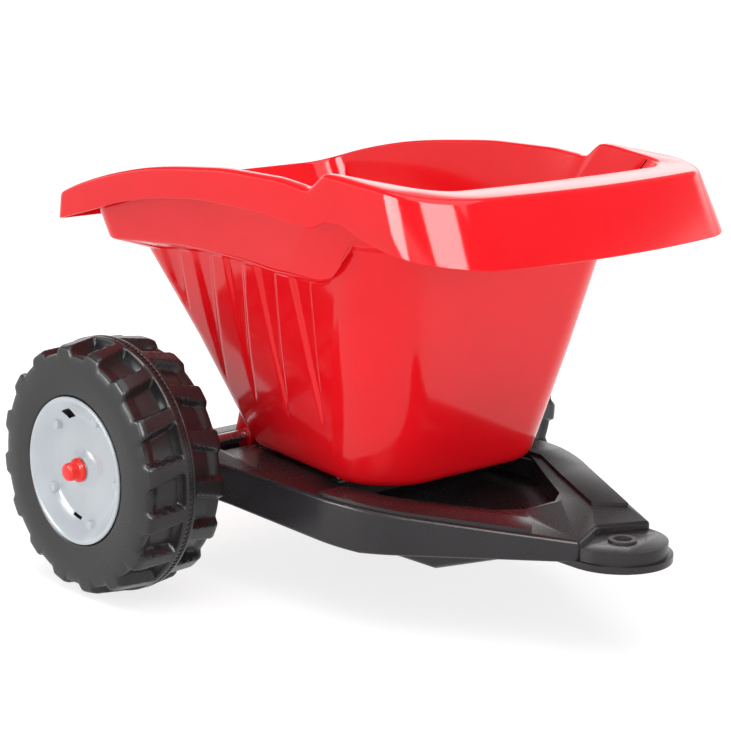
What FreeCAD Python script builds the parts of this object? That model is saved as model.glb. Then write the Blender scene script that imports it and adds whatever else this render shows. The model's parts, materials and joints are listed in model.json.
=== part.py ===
import FreeCAD, Part
import Sketcher
import math
import os

# Two-wheeled tipping trailer for a pedal tractor. +X points forward to the hitch, +Y to the trailer's
# left, +Z up. Every piece is drawn about the middle of the axle, and heights of the chassis and the tub are
# given from the axle's centre line. The Placement then raises a piece by the wheel's radius and moves it back
# by ORIGIN_X, which puts the origin on the floor under the middle of the whole trailer.

SIZES = {
    # wheels and axle
    "wheel_radius": 120,        # over the lugs
    "track_half": 224,          # trailer centre to wheel centre
    "tyre_half_width": 44,
    "lug_height": 9.5,
    "lug_root": 2,              # how far a lug is sunk into the tread
    "tyre_wall": 5,
    "lug_length": 35,           # from the sidewall towards the centre band
    "lug_count": 16,
    "rim_radius": 69.4,         # over the rim's lip
    "barrel_radius": 62,        # seat of the tyre
    "rim_wall": 2.5,
    "dish_radius": 47,          # flat floor of the dished rim
    "dish_depth": 15,
    "hub_radius": 14,
    "hub_nose": 6.4,            # hub tube, proud of the dish floor
    "boss_circle": 53,
    "boss_radius": 5,
    "boss_count": 5,
    "boss_inset": 8,            # from the rim's lip back to the bosses' ends
    "axle_radius": 6,
    "axle_clearance": 0.05,     # running fit of whatever turns on the axle
    "bush_wall": 3,
    "washer_thick": 1.5,
    "washer_radius": 10,
    "end_play": 0.3,            # side clearance between wheel, spacer and washer
    "cap_flange_radius": 11.5,
    "cap_flange_thick": 3,
    "cap_nose_radius": 8.8,
    "cap_length": 15,
    "cap_wall": 3,
    # chassis
    "chassis_half": 148,
    "chassis_rear": 45,         # behind the axle
    "deck_height": -1,
    "deck_front": 424,
    "deck_front_half": 47,
    "deck_notch": 20,           # depth of the shallow V in the deck's front edge, round the hitch plate
    "deck_drop": 12,            # fall of the drawbar's deck from its root to its front
    "taper_start": 245,
    "shoulder_length": 45,      # of the rounding where the drawbar starts to taper
    "chassis_wall": 4,
    "rib_depth": 22,
    "rib_thick": 3,
    "skirt_height": 37,         # of the chassis sides, at the back
    "pocket_depth": 24,
    "pocket_margin": 44,        # from the chassis side to the pocket's widest part
    "pad_height": 3,
    "pad_inner": 42,            # from the chassis side to the pad's inner corner
    "pad_margin": 4,
    "pad_end": 62,              # from the deck's front back to the pads' front ends
    "trough_depth": 19,
    "rest_gap": 0.3,            # between the tub's floor and its rails
    "rail_width": 8,
    "rail_half_span": 70,
    "rail_rear": 55,
    "rail_front": 155,
    "hitch_x": 425,
    "hitch_radius": 45,
    "hitch_flange": 4.5,
    "hitch_height": -19,
    "hitch_base": -36,
    "hitch_flange_thick": 6,
    "hitch_hole_x": 432,
    "hitch_collar": 12.5,
    "collar_lip": 2,            # of the bush, resting on the plate
    "collar_height": 1.5,
    "hitch_bore": 8,
    "foot_rear": 192,
    "foot_front": 372,
    "foot_half": 56,
    "foot_bottom": -76,
    "foot_seat": -36,
    "cradle_width": 32,
    "cradle_half_length": 22,
    "clamp_radius": 13,
    "clamp_flange": 4,
    "clamp_inset": 3,           # between the clamp's ends and the cradle's
    "screw_radius": 1.75,
    "screw_clearance": 0.2,     # round a shank that only passes through
    "screw_inset": 4.5,         # from the cradle's end to the clamp screws
    "screw_bite": 14,           # of the clamp screws in the cradles
    "screw_head_radius": 3.5,
    "screw_head": 2.5,
    # tub
    "tub_wall": 3,
    "tub_floor": 2,
    "tub_rear": 154,
    "tub_front": 392,
    "rim_height": 293.5,        # highest point of the rim
    "rim_half_rear": 167,
    "rim_half_front": 187,
    "skirt_flare": 0.5,         # forward lean of the front skirt, per mm down
    "floor_rear_x": 30,
    "floor_front_x": 250,
    "floor_half_rear": 85,
    "floor_half_front": 122,
    "corner_rear": 35,          # upright corners of the tub's body, at its floor
    "corner_front": 58,
    "rim_corner_rear": 12,
    "rim_corner_front": 45,
    "lug_half_span": 59,        # hinge lugs, from the centre
    "lug_thick": 8,
    "lug_radius": 13,
}

doc = FreeCAD.newDocument("tipping_trailer")
sheet = doc.addObject("Spreadsheet::Sheet", "Sizes")
for row, (alias, value) in enumerate(SIZES.items(), start=1):
    sheet.set(f"A{row}", alias)
    sheet.set(f"B{row}", str(value))
    sheet.setAlias(f"B{row}", alias)
doc.recompute()


def size(alias):
    """A driving dimension, read back from the sheet."""
    return float(sheet.get(alias))


def cells(text):
    """An expression on the sheet: every word that is an alias becomes that cell."""
    words = text.split(" ")
    return " ".join(f"Sizes.{word}" if word in SIZES else word for word in words)


def vec(x, y, z):
    return FreeCAD.Vector(x, y, z)


ORIGIN = "( hitch_x + hitch_radius + hitch_flange - tub_rear ) / 2"
ORIGIN_X = (size("hitch_x") + size("hitch_radius") + size("hitch_flange") - size("tub_rear")) / 2
TREAD_RADIUS = size("wheel_radius") - size("lug_height")
CRADLE_INNER = size("chassis_half") - size("cradle_width")
BOSS_FACE = size("tyre_half_width") - size("boss_inset")
FAR = 400
SIDES = {"left": 1, "right": -1}
NODES = []


def keep_bound(item, name, x="0", y="0"):
    """Names a finished piece and binds its Placement, given from the middle of the axle, to the sheet."""
    item.Label = name
    item.setExpression("Placement.Base.x", cells(f"{x} - {ORIGIN}"))
    item.setExpression("Placement.Base.y", cells(y))
    item.setExpression("Placement.Base.z", cells("wheel_radius"))
    NODES.append(item)


def keep_shape(name, shape):
    """A finished piece whose shape is worked out here about the middle of the axle."""
    item = doc.addObject("Part::Feature", name)
    item.Shape = shape
    item.Label = name
    item.Placement = FreeCAD.Placement(vec(-ORIGIN_X, 0, size("wheel_radius")), FreeCAD.Rotation())
    NODES.append(item)


# ---------------------------------------------------------------- turned pieces

def outline(body, plane, points):
    """A closed sketch through points, each a pair of expressions on the sheet."""
    sketch = body.newObject("Sketcher::SketchObject", body.Name + "_outline")
    base = next(item for item in body.Origin.OriginFeatures if item.Role == plane)
    sketch.AttachmentSupport = [(base, "")]
    sketch.MapMode = "FlatFace"
    count = len(points)
    spots = [vec(40 + 10 * math.cos(2 * math.pi * k / count), 10 * math.sin(2 * math.pi * k / count), 0)
             for k in range(count)]
    for k in range(count):
        sketch.addGeometry(Part.LineSegment(spots[k], spots[(k + 1) % count]), False)
    for k in range(count):
        sketch.addConstraint(Sketcher.Constraint("Coincident", k, 2, (k + 1) % count, 1))
    for k, (across, along) in enumerate(points):
        for kind, value in (("DistanceX", across), ("DistanceY", along)):
            index = sketch.addConstraint(Sketcher.Constraint(kind, -1, 1, k, 1, 1.0))
            sketch.setExpression(f"Constraints[{index}]", cells(value))
    return sketch


def turned(name, plane, points):
    """A body turned about the vertical axis of its sketch: Y for XY_Plane, Z for XZ_Plane."""
    body = doc.addObject("PartDesign::Body", name)
    sketch = outline(body, plane, points)
    turn = body.newObject("PartDesign::Revolution", name + "_turn")
    turn.Profile = sketch
    turn.ReferenceAxis = (sketch, ["V_Axis"])
    turn.Angle = 360
    body.Tip = turn
    return body


def sleeve(name, inner, outer, low, high, plane="XY_Plane"):
    """A plain tube between two stations along its axis."""
    return turned(name, plane, [(inner, low), (outer, low), (outer, high), (inner, high)])


def rim_profile(sign):
    """Half rim, from the wheel's centre plane out to its lip; sign is the way its dish faces."""
    lip = "tyre_half_width"
    floor = "( tyre_half_width - dish_depth )"
    points = [
        ("axle_radius + axle_clearance + bush_wall", "0"),
        ("hub_radius", "0"),
        ("hub_radius", f"{floor} - rim_wall"),
        ("dish_radius - 1.5", f"{floor} - rim_wall"),
        ("barrel_radius - rim_wall", f"{lip} - rim_wall * 2.5"),
        ("barrel_radius - rim_wall", "0"),
        ("barrel_radius", "0"),
        ("barrel_radius", f"{lip} - 5"),
        ("rim_radius", f"{lip} - 3"),
        ("rim_radius", lip),
        ("rim_radius - 4", lip),
        ("dish_radius", floor),
        ("hub_radius", floor),
        ("hub_radius", f"{floor} + hub_nose"),
        ("axle_radius + axle_clearance + bush_wall", f"{floor} + hub_nose"),
    ]
    return [(across, f"{sign} * ( {along} )") for across, along in points]


def carcass_profile():
    """Hollow tyre without its lugs, open towards the rim, with the raised band round its middle."""
    tread = "( wheel_radius - lug_height )"
    half = [
        ("barrel_radius", "tyre_half_width - 16"),
        ("barrel_radius", "tyre_half_width - 5"),
        ("rim_radius", "tyre_half_width - 3"),
        ("rim_radius + 3", "tyre_half_width - 1.5"),
        (f"( rim_radius + {tread} ) / 2 + 5", "tyre_half_width"),
        (f"{tread} - 5", "tyre_half_width - 1"),
        (f"{tread} - 1", "tyre_half_width - 4"),
        (tread, "tyre_half_width - lug_length - 2"),
        ("wheel_radius - 1", "tyre_half_width - lug_length - 3"),
        ("wheel_radius", "tyre_half_width - lug_length - 4"),
    ]
    inner = [
        (f"{tread} - tyre_wall", "0"),
        (f"{tread} - tyre_wall", "tyre_half_width - 10"),
        (f"{tread} - 2 * tyre_wall", "tyre_half_width - tyre_wall"),
        (f"( rim_radius + {tread} ) / 2", "tyre_half_width - tyre_wall - 1"),
        ("barrel_radius + tyre_wall", "tyre_half_width - 13"),
    ]
    outer_right = [(across, f"-1 * ( {along} )") for across, along in reversed(half)]
    inner_right = [(across, f"-1 * ( {along} )") for across, along in reversed(inner[1:])]
    return half + outer_right + inner_right + inner


def lug(y_side, y_band, turn, half_side, half_band):
    """One tread bar: a slanted loft from the sidewall, at y_side, to the centre band, at y_band."""
    root = TREAD_RADIUS - size("lug_root")
    wires = []
    slant = math.radians(5)
    for y, mid, half, tip in ((y_side, 0.0, half_side, size("wheel_radius") - 3),
                              (y_band, -slant, half_band, size("wheel_radius") - 0.3)):
        corners = []
        for radius, spread in ((root, 1.25), (tip, 0.8)):
            for way in (-1, 1):
                angle = turn + mid + way * spread * half
                corners.append(vec(radius * math.cos(angle), y, radius * math.sin(angle)))
        ring = [corners[0], corners[1], corners[3], corners[2], corners[0]]
        wires.append(Part.makePolygon(ring))
    return Part.makeLoft(wires, True, True)


def lug_ring():
    """All the bars of one tyre, the two halves half a pitch apart."""
    pitch = 2 * math.pi / size("lug_count")
    y_side = size("tyre_half_width") - 1.5
    y_band = size("tyre_half_width") - size("lug_length") - 3
    bars = []
    for k in range(int(size("lug_count"))):
        bars.append(lug(-y_side, -y_band, k * pitch, 0.22 * pitch, 0.17 * pitch))
        bars.append(lug(y_side, y_band, (k - 0.5) * pitch, 0.22 * pitch, 0.17 * pitch))
    return bars


def screw(length):
    """A pan-head screw standing on z = 0, its shank pointing down."""
    head = Part.makeCylinder(size("screw_head_radius"), size("screw_head"))
    return head.fuse(Part.makeCylinder(size("screw_radius"), length, vec(0, 0, -length)))


def boss_angles():
    return [math.radians(138) + 2 * math.pi * k / size("boss_count") for k in range(int(size("boss_count")))]


def along_y(radius, low, high, x=0.0, z=0.0):
    return Part.makeCylinder(radius, high - low, vec(x, low, z), vec(0, 1, 0))


def with_bosses(name, base, sign, y_text, through):
    """Adds the screw bosses of a rim half, drilled through with seats for the heads, or blind."""
    posts = []
    holes = []
    depth = BOSS_FACE + 1 if through else BOSS_FACE - 4
    bore = size("screw_radius") + (size("screw_clearance") if through else 0)
    for angle in boss_angles():
        x = size("boss_circle") * math.cos(angle)
        z = size("boss_circle") * math.sin(angle)
        post = sorted((0.0, sign * BOSS_FACE))
        hole = sorted((-sign, sign * depth))
        posts.append(along_y(size("boss_radius"), post[0], post[1], x, z))
        drill = along_y(bore, hole[0], hole[1], x, z)
        if through:
            seat = sorted((sign * BOSS_FACE, sign * (BOSS_FACE + size("screw_head") + 1)))
            wide = size("screw_head_radius") + size("screw_clearance")
            drill = drill.fuse(along_y(wide, seat[0], seat[1], x, z))
        holes.append(drill)
    post_item = doc.addObject("Part::Feature", name + "_posts")
    post_item.Shape = posts[0].fuse(posts[1:])
    hole_item = doc.addObject("Part::Feature", name + "_holes")
    hole_item.Shape = Part.makeCompound(holes)
    joined = doc.addObject("Part::MultiFuse", name + "_joined")
    joined.Shapes = [base, post_item]
    drilled = doc.addObject("Part::Cut", name)
    drilled.Base = joined
    drilled.Tool = hole_item
    keep_bound(drilled, name, "0", y_text)


def make_wheel(side):
    """Tyre, two rim halves, bush and screws of one wheel. The outer half faces away from the trailer."""
    out = SIDES[side]
    y_text = f"{out} * track_half"
    carcass = turned(f"carcass_{side}", "XY_Plane", carcass_profile())
    bars = doc.addObject("Part::Feature", f"bars_{side}")
    bars.Shape = Part.makeCompound(lug_ring())
    tyre = doc.addObject("Part::MultiFuse", f"tyre_{side}")
    tyre.Shapes = [carcass, bars]
    keep_bound(tyre, f"tyre_{side}", "0", y_text)
    for half, sign in (("outer", out), ("inner", -out)):
        disc = turned(f"disc_{half}_{side}", "XY_Plane", rim_profile(sign))
        with_bosses(f"rim_{half}_{side}", disc, sign, y_text, half == "inner")
    reach = "( tyre_half_width - dish_depth + hub_nose )"
    bush = sleeve(f"wheel_bush_{side}", "axle_radius + axle_clearance",
                  "axle_radius + axle_clearance + bush_wall", f"-1 * {reach}", reach)
    keep_bound(bush, f"wheel_bush_{side}", "0", y_text)
    screws = []
    for angle in boss_angles():
        piece = screw(2 * BOSS_FACE - 5)
        piece.rotate(vec(0, 0, 0), vec(1, 0, 0), out * 90)
        piece.translate(vec(size("boss_circle") * math.cos(angle),
                            out * (size("track_half") - BOSS_FACE),
                            size("boss_circle") * math.sin(angle)))
        screws.append(piece)
    keep_shape(f"wheel_screws_{side}", Part.makeCompound(screws))


def make_axle():
    """The axle with its spacers, washers and hub caps."""
    hub_end = "( track_half + tyre_half_width - dish_depth + hub_nose )"
    washer_out = f"( {hub_end} + end_play + washer_thick )"
    bar_end = f"( {washer_out} + cap_length - cap_wall )"
    axle = turned("axle", "XY_Plane", [("0", f"-1 * {bar_end}"), ("axle_radius", f"-1 * {bar_end}"),
                                      ("axle_radius", bar_end), ("0", bar_end)])
    keep_bound(axle, "axle")
    for side, out in SIDES.items():
        hub_in = "( track_half - tyre_half_width + dish_depth - hub_nose )"
        spacer = sleeve(f"axle_spacer_{side}", "axle_radius + axle_clearance",
                        "axle_radius + axle_clearance + bush_wall",
                        f"{out} * ( chassis_half + end_play )", f"{out} * ( {hub_in} - end_play )")
        keep_bound(spacer, f"axle_spacer_{side}")
        washer = sleeve(f"axle_washer_{side}", "axle_radius", "washer_radius",
                        f"{out} * ( {hub_end} + end_play )", f"{out} * {washer_out}")
        keep_bound(washer, f"axle_washer_{side}")
        cap = turned(f"hub_cap_{side}", "XY_Plane", [
            (across, f"{out} * ( {washer_out} + {along} )") for across, along in (
                ("axle_radius", "0"),
                ("cap_flange_radius", "0"),
                ("cap_flange_radius", "cap_flange_thick"),
                ("cap_nose_radius", "cap_flange_thick + 1"),
                ("cap_nose_radius", "cap_length - 2.5"),
                ("cap_nose_radius - 3", "cap_length"),
                ("0", "cap_length"),
                ("0", "cap_length - cap_wall"),
                ("axle_radius", "cap_length - cap_wall"))])
        keep_bound(cap, f"hub_cap_{side}")


# ---------------------------------------------------------------- chassis

def prism_up(points, low, high):
    """A straight prism over a plan outline."""
    ring = [vec(x, y, low) for x, y in points]
    return Part.Face(Part.makePolygon(ring + ring[:1])).extrude(vec(0, 0, high - low))


def prism_across(points, half):
    """A side outline carried across the trailer's width."""
    ring = [vec(x, -half, z) for x, z in points]
    return Part.Face(Part.makePolygon(ring + ring[:1])).extrude(vec(0, 2 * half, 0))


def mirrored(points):
    """A plan outline from its left half, given back to front."""
    return points + [(x, -y) for x, y in reversed(points)]


def block(x0, x1, y0, y1, z0, z1):
    return Part.makeBox(x1 - x0, y1 - y0, z1 - z0, vec(x0, y0, z0))


def deck_side(shrink, drop_to=None):
    """Side outline of the chassis, back to front along the deck, then back along its lower edge."""
    top = size("deck_height") - shrink
    rear = -size("chassis_rear") + shrink
    front = size("deck_front") - shrink
    root = size("taper_start")
    upper = [(rear, top), (150, top), (root - 10, top - 2), (root + 43, top - 6),
             (front, top - size("deck_drop"))]
    if drop_to is not None:
        return upper + [(front, drop_to), (rear, drop_to)]
    edge = size("deck_height") - size("skirt_height")
    return upper + [(front, size("hitch_base") + 4), (root + 3, edge - 8), (79, edge), (rear, edge + 2)]


def deck_plan(shrink):
    """Plan outline of the chassis, or of its hollow when shrunk by the wall."""
    half = size("chassis_half") - shrink
    corner = vec(size("taper_start") - shrink * 0.3, half, 0)
    nose = vec(size("deck_front") - shrink, size("deck_front_half") - shrink, 0)
    start = corner - vec(size("shoulder_length"), 0, 0)
    end = corner + (nose - corner).normalize() * size("shoulder_length")
    steps = 8
    left = [(-size("chassis_rear") + shrink, half)]
    for k in range(steps + 1):
        share = k / steps
        spot = start * (1 - share) ** 2 + corner * (2 * share * (1 - share)) + end * share ** 2
        left.append((spot.x, spot.y))
    left.append((nose.x, nose.y))
    return left + [(nose.x - size("deck_notch"), 0)] + [(x, -y) for x, y in reversed(left)]


def pocket_plan(grow):
    """Plan of the recess in the drawbar, or of its lining when grown by the wall."""
    root = size("taper_start")
    wide = size("chassis_half") - size("pocket_margin") + grow
    return mirrored([(root - 75 - grow, wide), (root - 17, wide), (root + 76 + grow, 42 + grow),
                     (root + 90 + grow, 20 + grow)])


def hitch_layer(grow, low, high):
    """One layer of the hitch plate: a tongue from the deck that ends in a half round."""
    x = size("hitch_x")
    radius = size("hitch_radius") + grow
    root = size("deck_front_half")
    neck = mirrored([(x - 40, root), (x, root - 2 + grow), (x + 7, radius - 0.6)])
    return prism_up(neck, low, high).fuse(Part.makeCylinder(radius, high - low, vec(x, 0, low)))


def make_chassis():
    wall = size("chassis_wall")
    top = size("deck_height")
    half = size("chassis_half")
    root = size("taper_start")
    outer = prism_across(deck_side(0), FAR).common(prism_up(deck_plan(0), -FAR, FAR))
    inner = prism_across(deck_side(wall, -FAR), FAR).common(prism_up(deck_plan(wall), -FAR, FAR))
    frame = outer.cut(inner)

    # recess in the middle of the drawbar, ahead of and under the tub
    pocket_floor = top - size("pocket_depth")
    frame = frame.fuse(prism_up(pocket_plan(wall), pocket_floor - wall, top).common(
        prism_across(deck_side(0), FAR)))

    # ribs under the deck: two that seat the foot and two across
    foot_in = size("foot_half") - 8
    ribs = [block(size("foot_rear"), size("foot_front") - 4, side * foot_in - 3, side * foot_in + 3,
                  size("foot_seat"), top) for side in (-1, 1)]
    ribs += [block(x, x + size("rib_thick"), -half, half, top - size("rib_depth"), top) for x in (60, 130)]
    for rib in ribs:
        frame = frame.fuse(rib.common(outer))

    # trough that the axle crosses, and the cradles at its ends
    reach = size("cradle_half_length")
    fore = reach + wall * 2
    trough_floor = top - size("trough_depth")
    frame = frame.fuse(block(-reach - wall, fore + wall, -CRADLE_INNER, CRADLE_INNER,
                             trough_floor - wall, top))
    for side in (-1, 1):
        ends = sorted((side * CRADLE_INNER, side * half))
        frame = frame.fuse(block(-reach, reach, ends[0], ends[1], trough_floor - wall, 0))
    frame = frame.cut(block(-reach, fore, wall - CRADLE_INNER, CRADLE_INNER - wall, trough_floor, FAR))
    frame = frame.cut(prism_up(pocket_plan(0), pocket_floor, FAR))

    # rails that carry the tub's floor
    rest = size("tub_floor") - size("rest_gap")
    rail = size("rail_half_span")
    thick = size("rail_width")
    for side in (-1, 1):
        frame = frame.fuse(block(size("rail_rear"), size("rail_front"), side * rail - thick / 2,
                                 side * rail + thick / 2, top - 1, rest))

    # raised pads along the drawbar's edges
    lift = size("pad_height")
    margin = size("pad_margin")
    nose = size("deck_front")
    nose_half = size("deck_front_half")
    deck_line = deck_side(0)[:5]
    upper = [(x, z + lift) for x, z in deck_line]
    raised = prism_across(upper + [(x, z - 1) for x, z in reversed(deck_line)], FAR)
    end = nose - size("pad_end")
    outline_left = deck_plan(margin)[1:10]
    edge = outline_left[-1]
    reach = (end + 22 - edge[0]) / (nose - edge[0])
    edge_end = (end + 22, edge[1] + (nose_half - margin - edge[1]) * reach)
    plan = [(root - 45, half - size("pad_inner"))] + outline_left + [edge_end, (end, nose_half - 8)]
    plan.append((root - 5, half - size("pad_inner")))
    for side in (-1, 1):
        pad = prism_up([(x, side * y) for x, y in plan], -FAR, FAR)
        frame = frame.fuse(pad.common(raised))

    frame = frame.fuse(hitch_layer(0, size("hitch_base"), size("hitch_height")))
    frame = frame.fuse(hitch_layer(size("hitch_flange"), size("hitch_base"),
                                   size("hitch_base") + size("hitch_flange_thick")))
    hole = vec(size("hitch_hole_x"), 0, -FAR / 2)
    frame = frame.cut(Part.makeCylinder(size("hitch_collar") - size("collar_lip"), FAR, hole))

    frame = frame.cut(along_y(size("axle_radius") + size("axle_clearance"), -half - 1, half + 1))
    depth = size("screw_bite") + 2
    for x, y in clamp_spots():
        frame = frame.cut(Part.makeCylinder(size("screw_radius"), depth, vec(x, y, -depth)))
    keep_shape("chassis_frame", frame.removeSplitter())


def clamp_spots():
    """Where the clamps' screws go down into the cradles."""
    x = size("cradle_half_length") - size("screw_inset")
    y = (CRADLE_INNER + size("chassis_half")) / 2
    return [(sx * x, sy * y) for sx in (-1, 1) for sy in (-1, 1)]


def make_clamps():
    """Saddles over the axle, screwed to the cradles."""
    reach = size("cradle_half_length")
    flange = size("clamp_flange")
    for side, out in SIDES.items():
        inset = size("clamp_inset")
        ends = sorted((out * (CRADLE_INNER + inset + 1), out * (size("chassis_half") - inset)))
        saddle = along_y(size("clamp_radius"), ends[0], ends[1])
        saddle = saddle.fuse(block(-reach, reach, ends[0], ends[1], 0, flange))
        saddle = saddle.common(block(-reach, reach, ends[0], ends[1], 0, FAR))
        saddle = saddle.cut(along_y(size("axle_radius") + size("axle_clearance"), ends[0] - 1, ends[1] + 1))
        for x, y in clamp_spots():
            bore = size("screw_radius") + size("screw_clearance")
            saddle = saddle.cut(Part.makeCylinder(bore, 2 * flange, vec(x, y, -1)))
        keep_shape(f"axle_clamp_{side}", saddle)
    screws = []
    for x, y in clamp_spots():
        piece = screw(flange + size("screw_bite"))
        piece.translate(vec(x, y, flange))
        screws.append(piece)
    keep_shape("clamp_screws", Part.makeCompound(screws))


def make_foot():
    """Keel under the drawbar, an open-topped trough seated on the chassis ribs."""
    wall = size("chassis_wall")
    seat = size("foot_seat")
    low = size("foot_bottom")
    rear = size("foot_rear")
    front = size("foot_front")
    half = size("foot_half")
    shell = prism_across([(rear, seat), (rear + 8, low), (rear + 66, low), (front, seat)], half)
    hollow = prism_across([(rear + wall, seat + 1), (rear + 8 + wall, low + wall),
                           (rear + 66 - wall / 2, low + wall), (front - wall * 3, seat + 1)], half - wall)
    edges = [edge for edge in shell.Edges
             if abs(edge.Vertexes[0].Y) > half - 0.1 and edge.Vertexes[0].Y == edge.Vertexes[-1].Y
             and max(vertex.Z for vertex in edge.Vertexes) < seat + 0.1
             and min(vertex.Z for vertex in edge.Vertexes) < seat - 0.1]
    shell = shell.makeFillet(wall, edges)
    keep_shape("drawbar_foot", shell.cut(hollow))


def make_hitch_bush():
    bush = turned("hitch_bush", "XZ_Plane", [
        ("hitch_bore", "hitch_base"),
        ("hitch_collar - collar_lip", "hitch_base"),
        ("hitch_collar - collar_lip", "hitch_height"),
        ("hitch_collar", "hitch_height"),
        ("hitch_collar", "hitch_height + collar_height"),
        ("hitch_bore", "hitch_height + collar_height")])
    keep_bound(bush, "hitch_bush", "hitch_hole_x")


# ---------------------------------------------------------------- tub

def rounded_ring(corners, radii, z):
    """A closed level wire through mirrored plan corners, each rounded by an arc of its own radius."""
    points = mirrored(corners)
    radii = radii + radii[::-1]
    count = len(points)
    edges = []
    starts = []
    for k in range(count):
        here = vec(points[k][0], points[k][1], z)
        back = (vec(*points[k - 1], z) - here).normalize()
        ahead = (vec(*points[(k + 1) % count], z) - here).normalize()
        turn = math.pi - back.getAngle(ahead)
        cut = radii[k] * math.tan(turn / 2)
        middle = (back + ahead).normalize() * (radii[k] / math.cos(turn / 2) - radii[k])
        starts.append((here + back * cut, here + middle, here + ahead * cut))
    for k in range(count):
        edges.append(Part.Arc(*starts[k]).toShape())
        edges.append(Part.LineSegment(starts[k][2], starts[(k + 1) % count][0]).toShape())
    return Part.Wire(edges)


def tub_length():
    return size("tub_rear") + size("tub_front")


def along(share):
    """Station at a share of the rim's length, from the back."""
    return -size("tub_rear") + share * tub_length()


# Heights below the top of the rim, at shares of its length from the back.
RIM_REAR = [(-0.01, 65), (0.073, 47.5), (0.178, 31.5), (0.281, 20.5), (0.39, 14), (0.5, 10), (0.604, 10),
            (0.684, 14.5)]
RIM_FRONT = [(0.732, 0), (0.807, 2.5), (0.883, 5.5), (0.945, 9), (1.1, 11)]
SKIRT_EDGE = [(-0.03, 92), (0.123, 69.5), (0.194, 58.5), (0.326, 46.5), (0.452, 41.5), (0.571, 42.5),
              (0.66, 46.5), (0.705, 46.5), (0.745, 40), (0.775, 40), (0.82, 47.5), (0.9, 56), (1.1, 68.5)]
STEP_SIDE = [(-0.05, 110), (0.133, 107.5), (0.286, 100.5), (0.387, 96.5), (0.497, 97.5), (0.576, 101.5),
             (0.654, 100.5), (0.707, 89.5), (0.728, 66)]
STEP_FRONT = [(0.74, 66), (1.1, 66)]


def under(lines, drop=0.0):
    """Everything below a line drawn along the tub, carried across its width."""
    half = 300
    edges = []
    ends = []
    for line in lines:
        spots = [vec(along(share), -half, size("rim_height") - depth - drop) for share, depth in line]
        curve = Part.BSplineCurve()
        curve.interpolate(spots)
        if ends:
            edges.append(Part.LineSegment(ends[-1], spots[0]).toShape())
        edges.append(curve.toShape())
        ends.append(spots[-1])
    first = edges[0].Vertexes[0].Point
    last = ends[-1]
    low_last = vec(last.x, -half, -FAR)
    low_first = vec(first.x, -half, -FAR)
    edges += [Part.LineSegment(last, low_last).toShape(), Part.LineSegment(low_last, low_first).toShape(),
              Part.LineSegment(low_first, first).toShape()]
    return Part.Face(Part.Wire(edges)).extrude(vec(0, 2 * half, 0))


def hopper(shrink):
    """Main body of the tub: a sloping back, steep sides and front."""
    top = size("rim_height")
    rear = size("floor_rear_x")
    front = size("floor_front_x")
    back = size("floor_half_rear")
    fore = size("floor_half_front")
    r_back = size("corner_rear") - shrink
    r_fore = size("corner_front") - shrink
    rings = [
        (size("tub_floor") + shrink, rear, front, back, fore, [r_back, r_fore]),
        (top - 184.5, rear - 50, front + 22, back + 35, fore + 22, [r_back + 2, r_fore - 2]),
        (top - 53.5, rear - 134, front + 49, back + 71, fore + 43.5, [r_back + 4, r_fore - 4]),
    ]
    wires = [rounded_ring([(x0 + shrink * 1.2, y0 - shrink), (x1 - shrink, y1 - shrink)], radii, z)
             for z, x0, x1, y0, y1, radii in rings]
    return Part.makeLoft(wires, True, True)


def step_body(shrink):
    """The wider upper band, which also flares forward under the front ledge."""
    top = size("rim_height")
    rear = -size("tub_rear")
    front = size("tub_front")
    back = size("rim_half_rear")
    fore = size("rim_half_front")
    soft = size("corner_rear") - 1 - shrink
    widest = size("taper_start") + 1
    rings = [
        (top - 117.5, rear + 62, back - 9, fore - 21, front - 105, fore - 27, soft + 12),
        (top - 68.5, rear + 24, back - 4, fore - 16, front - 94, fore - 22, soft + 12),
        (top + 10, rear + 12, back - 9, fore - 11, front - 24, fore - 38, soft + 2),
    ]
    wires = [rounded_ring([(x0 + shrink, y0 - shrink), (widest, y1 - shrink), (x2 - shrink, y2 - shrink)],
                          [soft, soft, r_fore], z)
             for z, x0, y0, y1, x2, y2, r_fore in rings]
    return Part.makeLoft(wires, True, True)


def skirt_body(shrink):
    """Outer envelope of the rim and of the skirt that hangs from it."""
    top = size("rim_height")
    rear = -size("tub_rear")
    lean = size("skirt_flare")
    corners = [size("rim_corner_rear") - shrink, size("rim_corner_front") - shrink]
    rings = []
    for depth in (100, -10):
        front = size("tub_front") + lean * (depth - 10)
        rings.append(rounded_ring([(rear + shrink, size("rim_half_rear") + 0.07 * depth - shrink),
                                   (front - shrink, size("rim_half_front") + 0.12 * depth - shrink)],
                                  corners, top - depth))
    return Part.makeLoft(rings, True, True)


def hinge_lugs():
    """Two gussets on the back of the tub whose eyes turn on the axle."""
    base = size("tub_floor")
    x = size("floor_rear_x")
    eye = size("lug_radius")
    half = size("lug_thick") / 2
    lugs = []
    for side in (-1, 1):
        y0 = side * size("lug_half_span") - half
        ring = [vec(px, y0, pz) for px, pz in
                ((0, -eye * 0.2), (eye, base - 1), (x + 1, base + 0.5), (x + 1, base + 6),
                 (x - 27, base + 60), (-eye, 0))]
        gusset = Part.Face(Part.makePolygon(ring + ring[:1])).extrude(vec(0, 2 * half, 0))
        lugs.append(gusset.fuse(along_y(eye, y0, y0 + 2 * half)))
    return lugs


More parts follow.
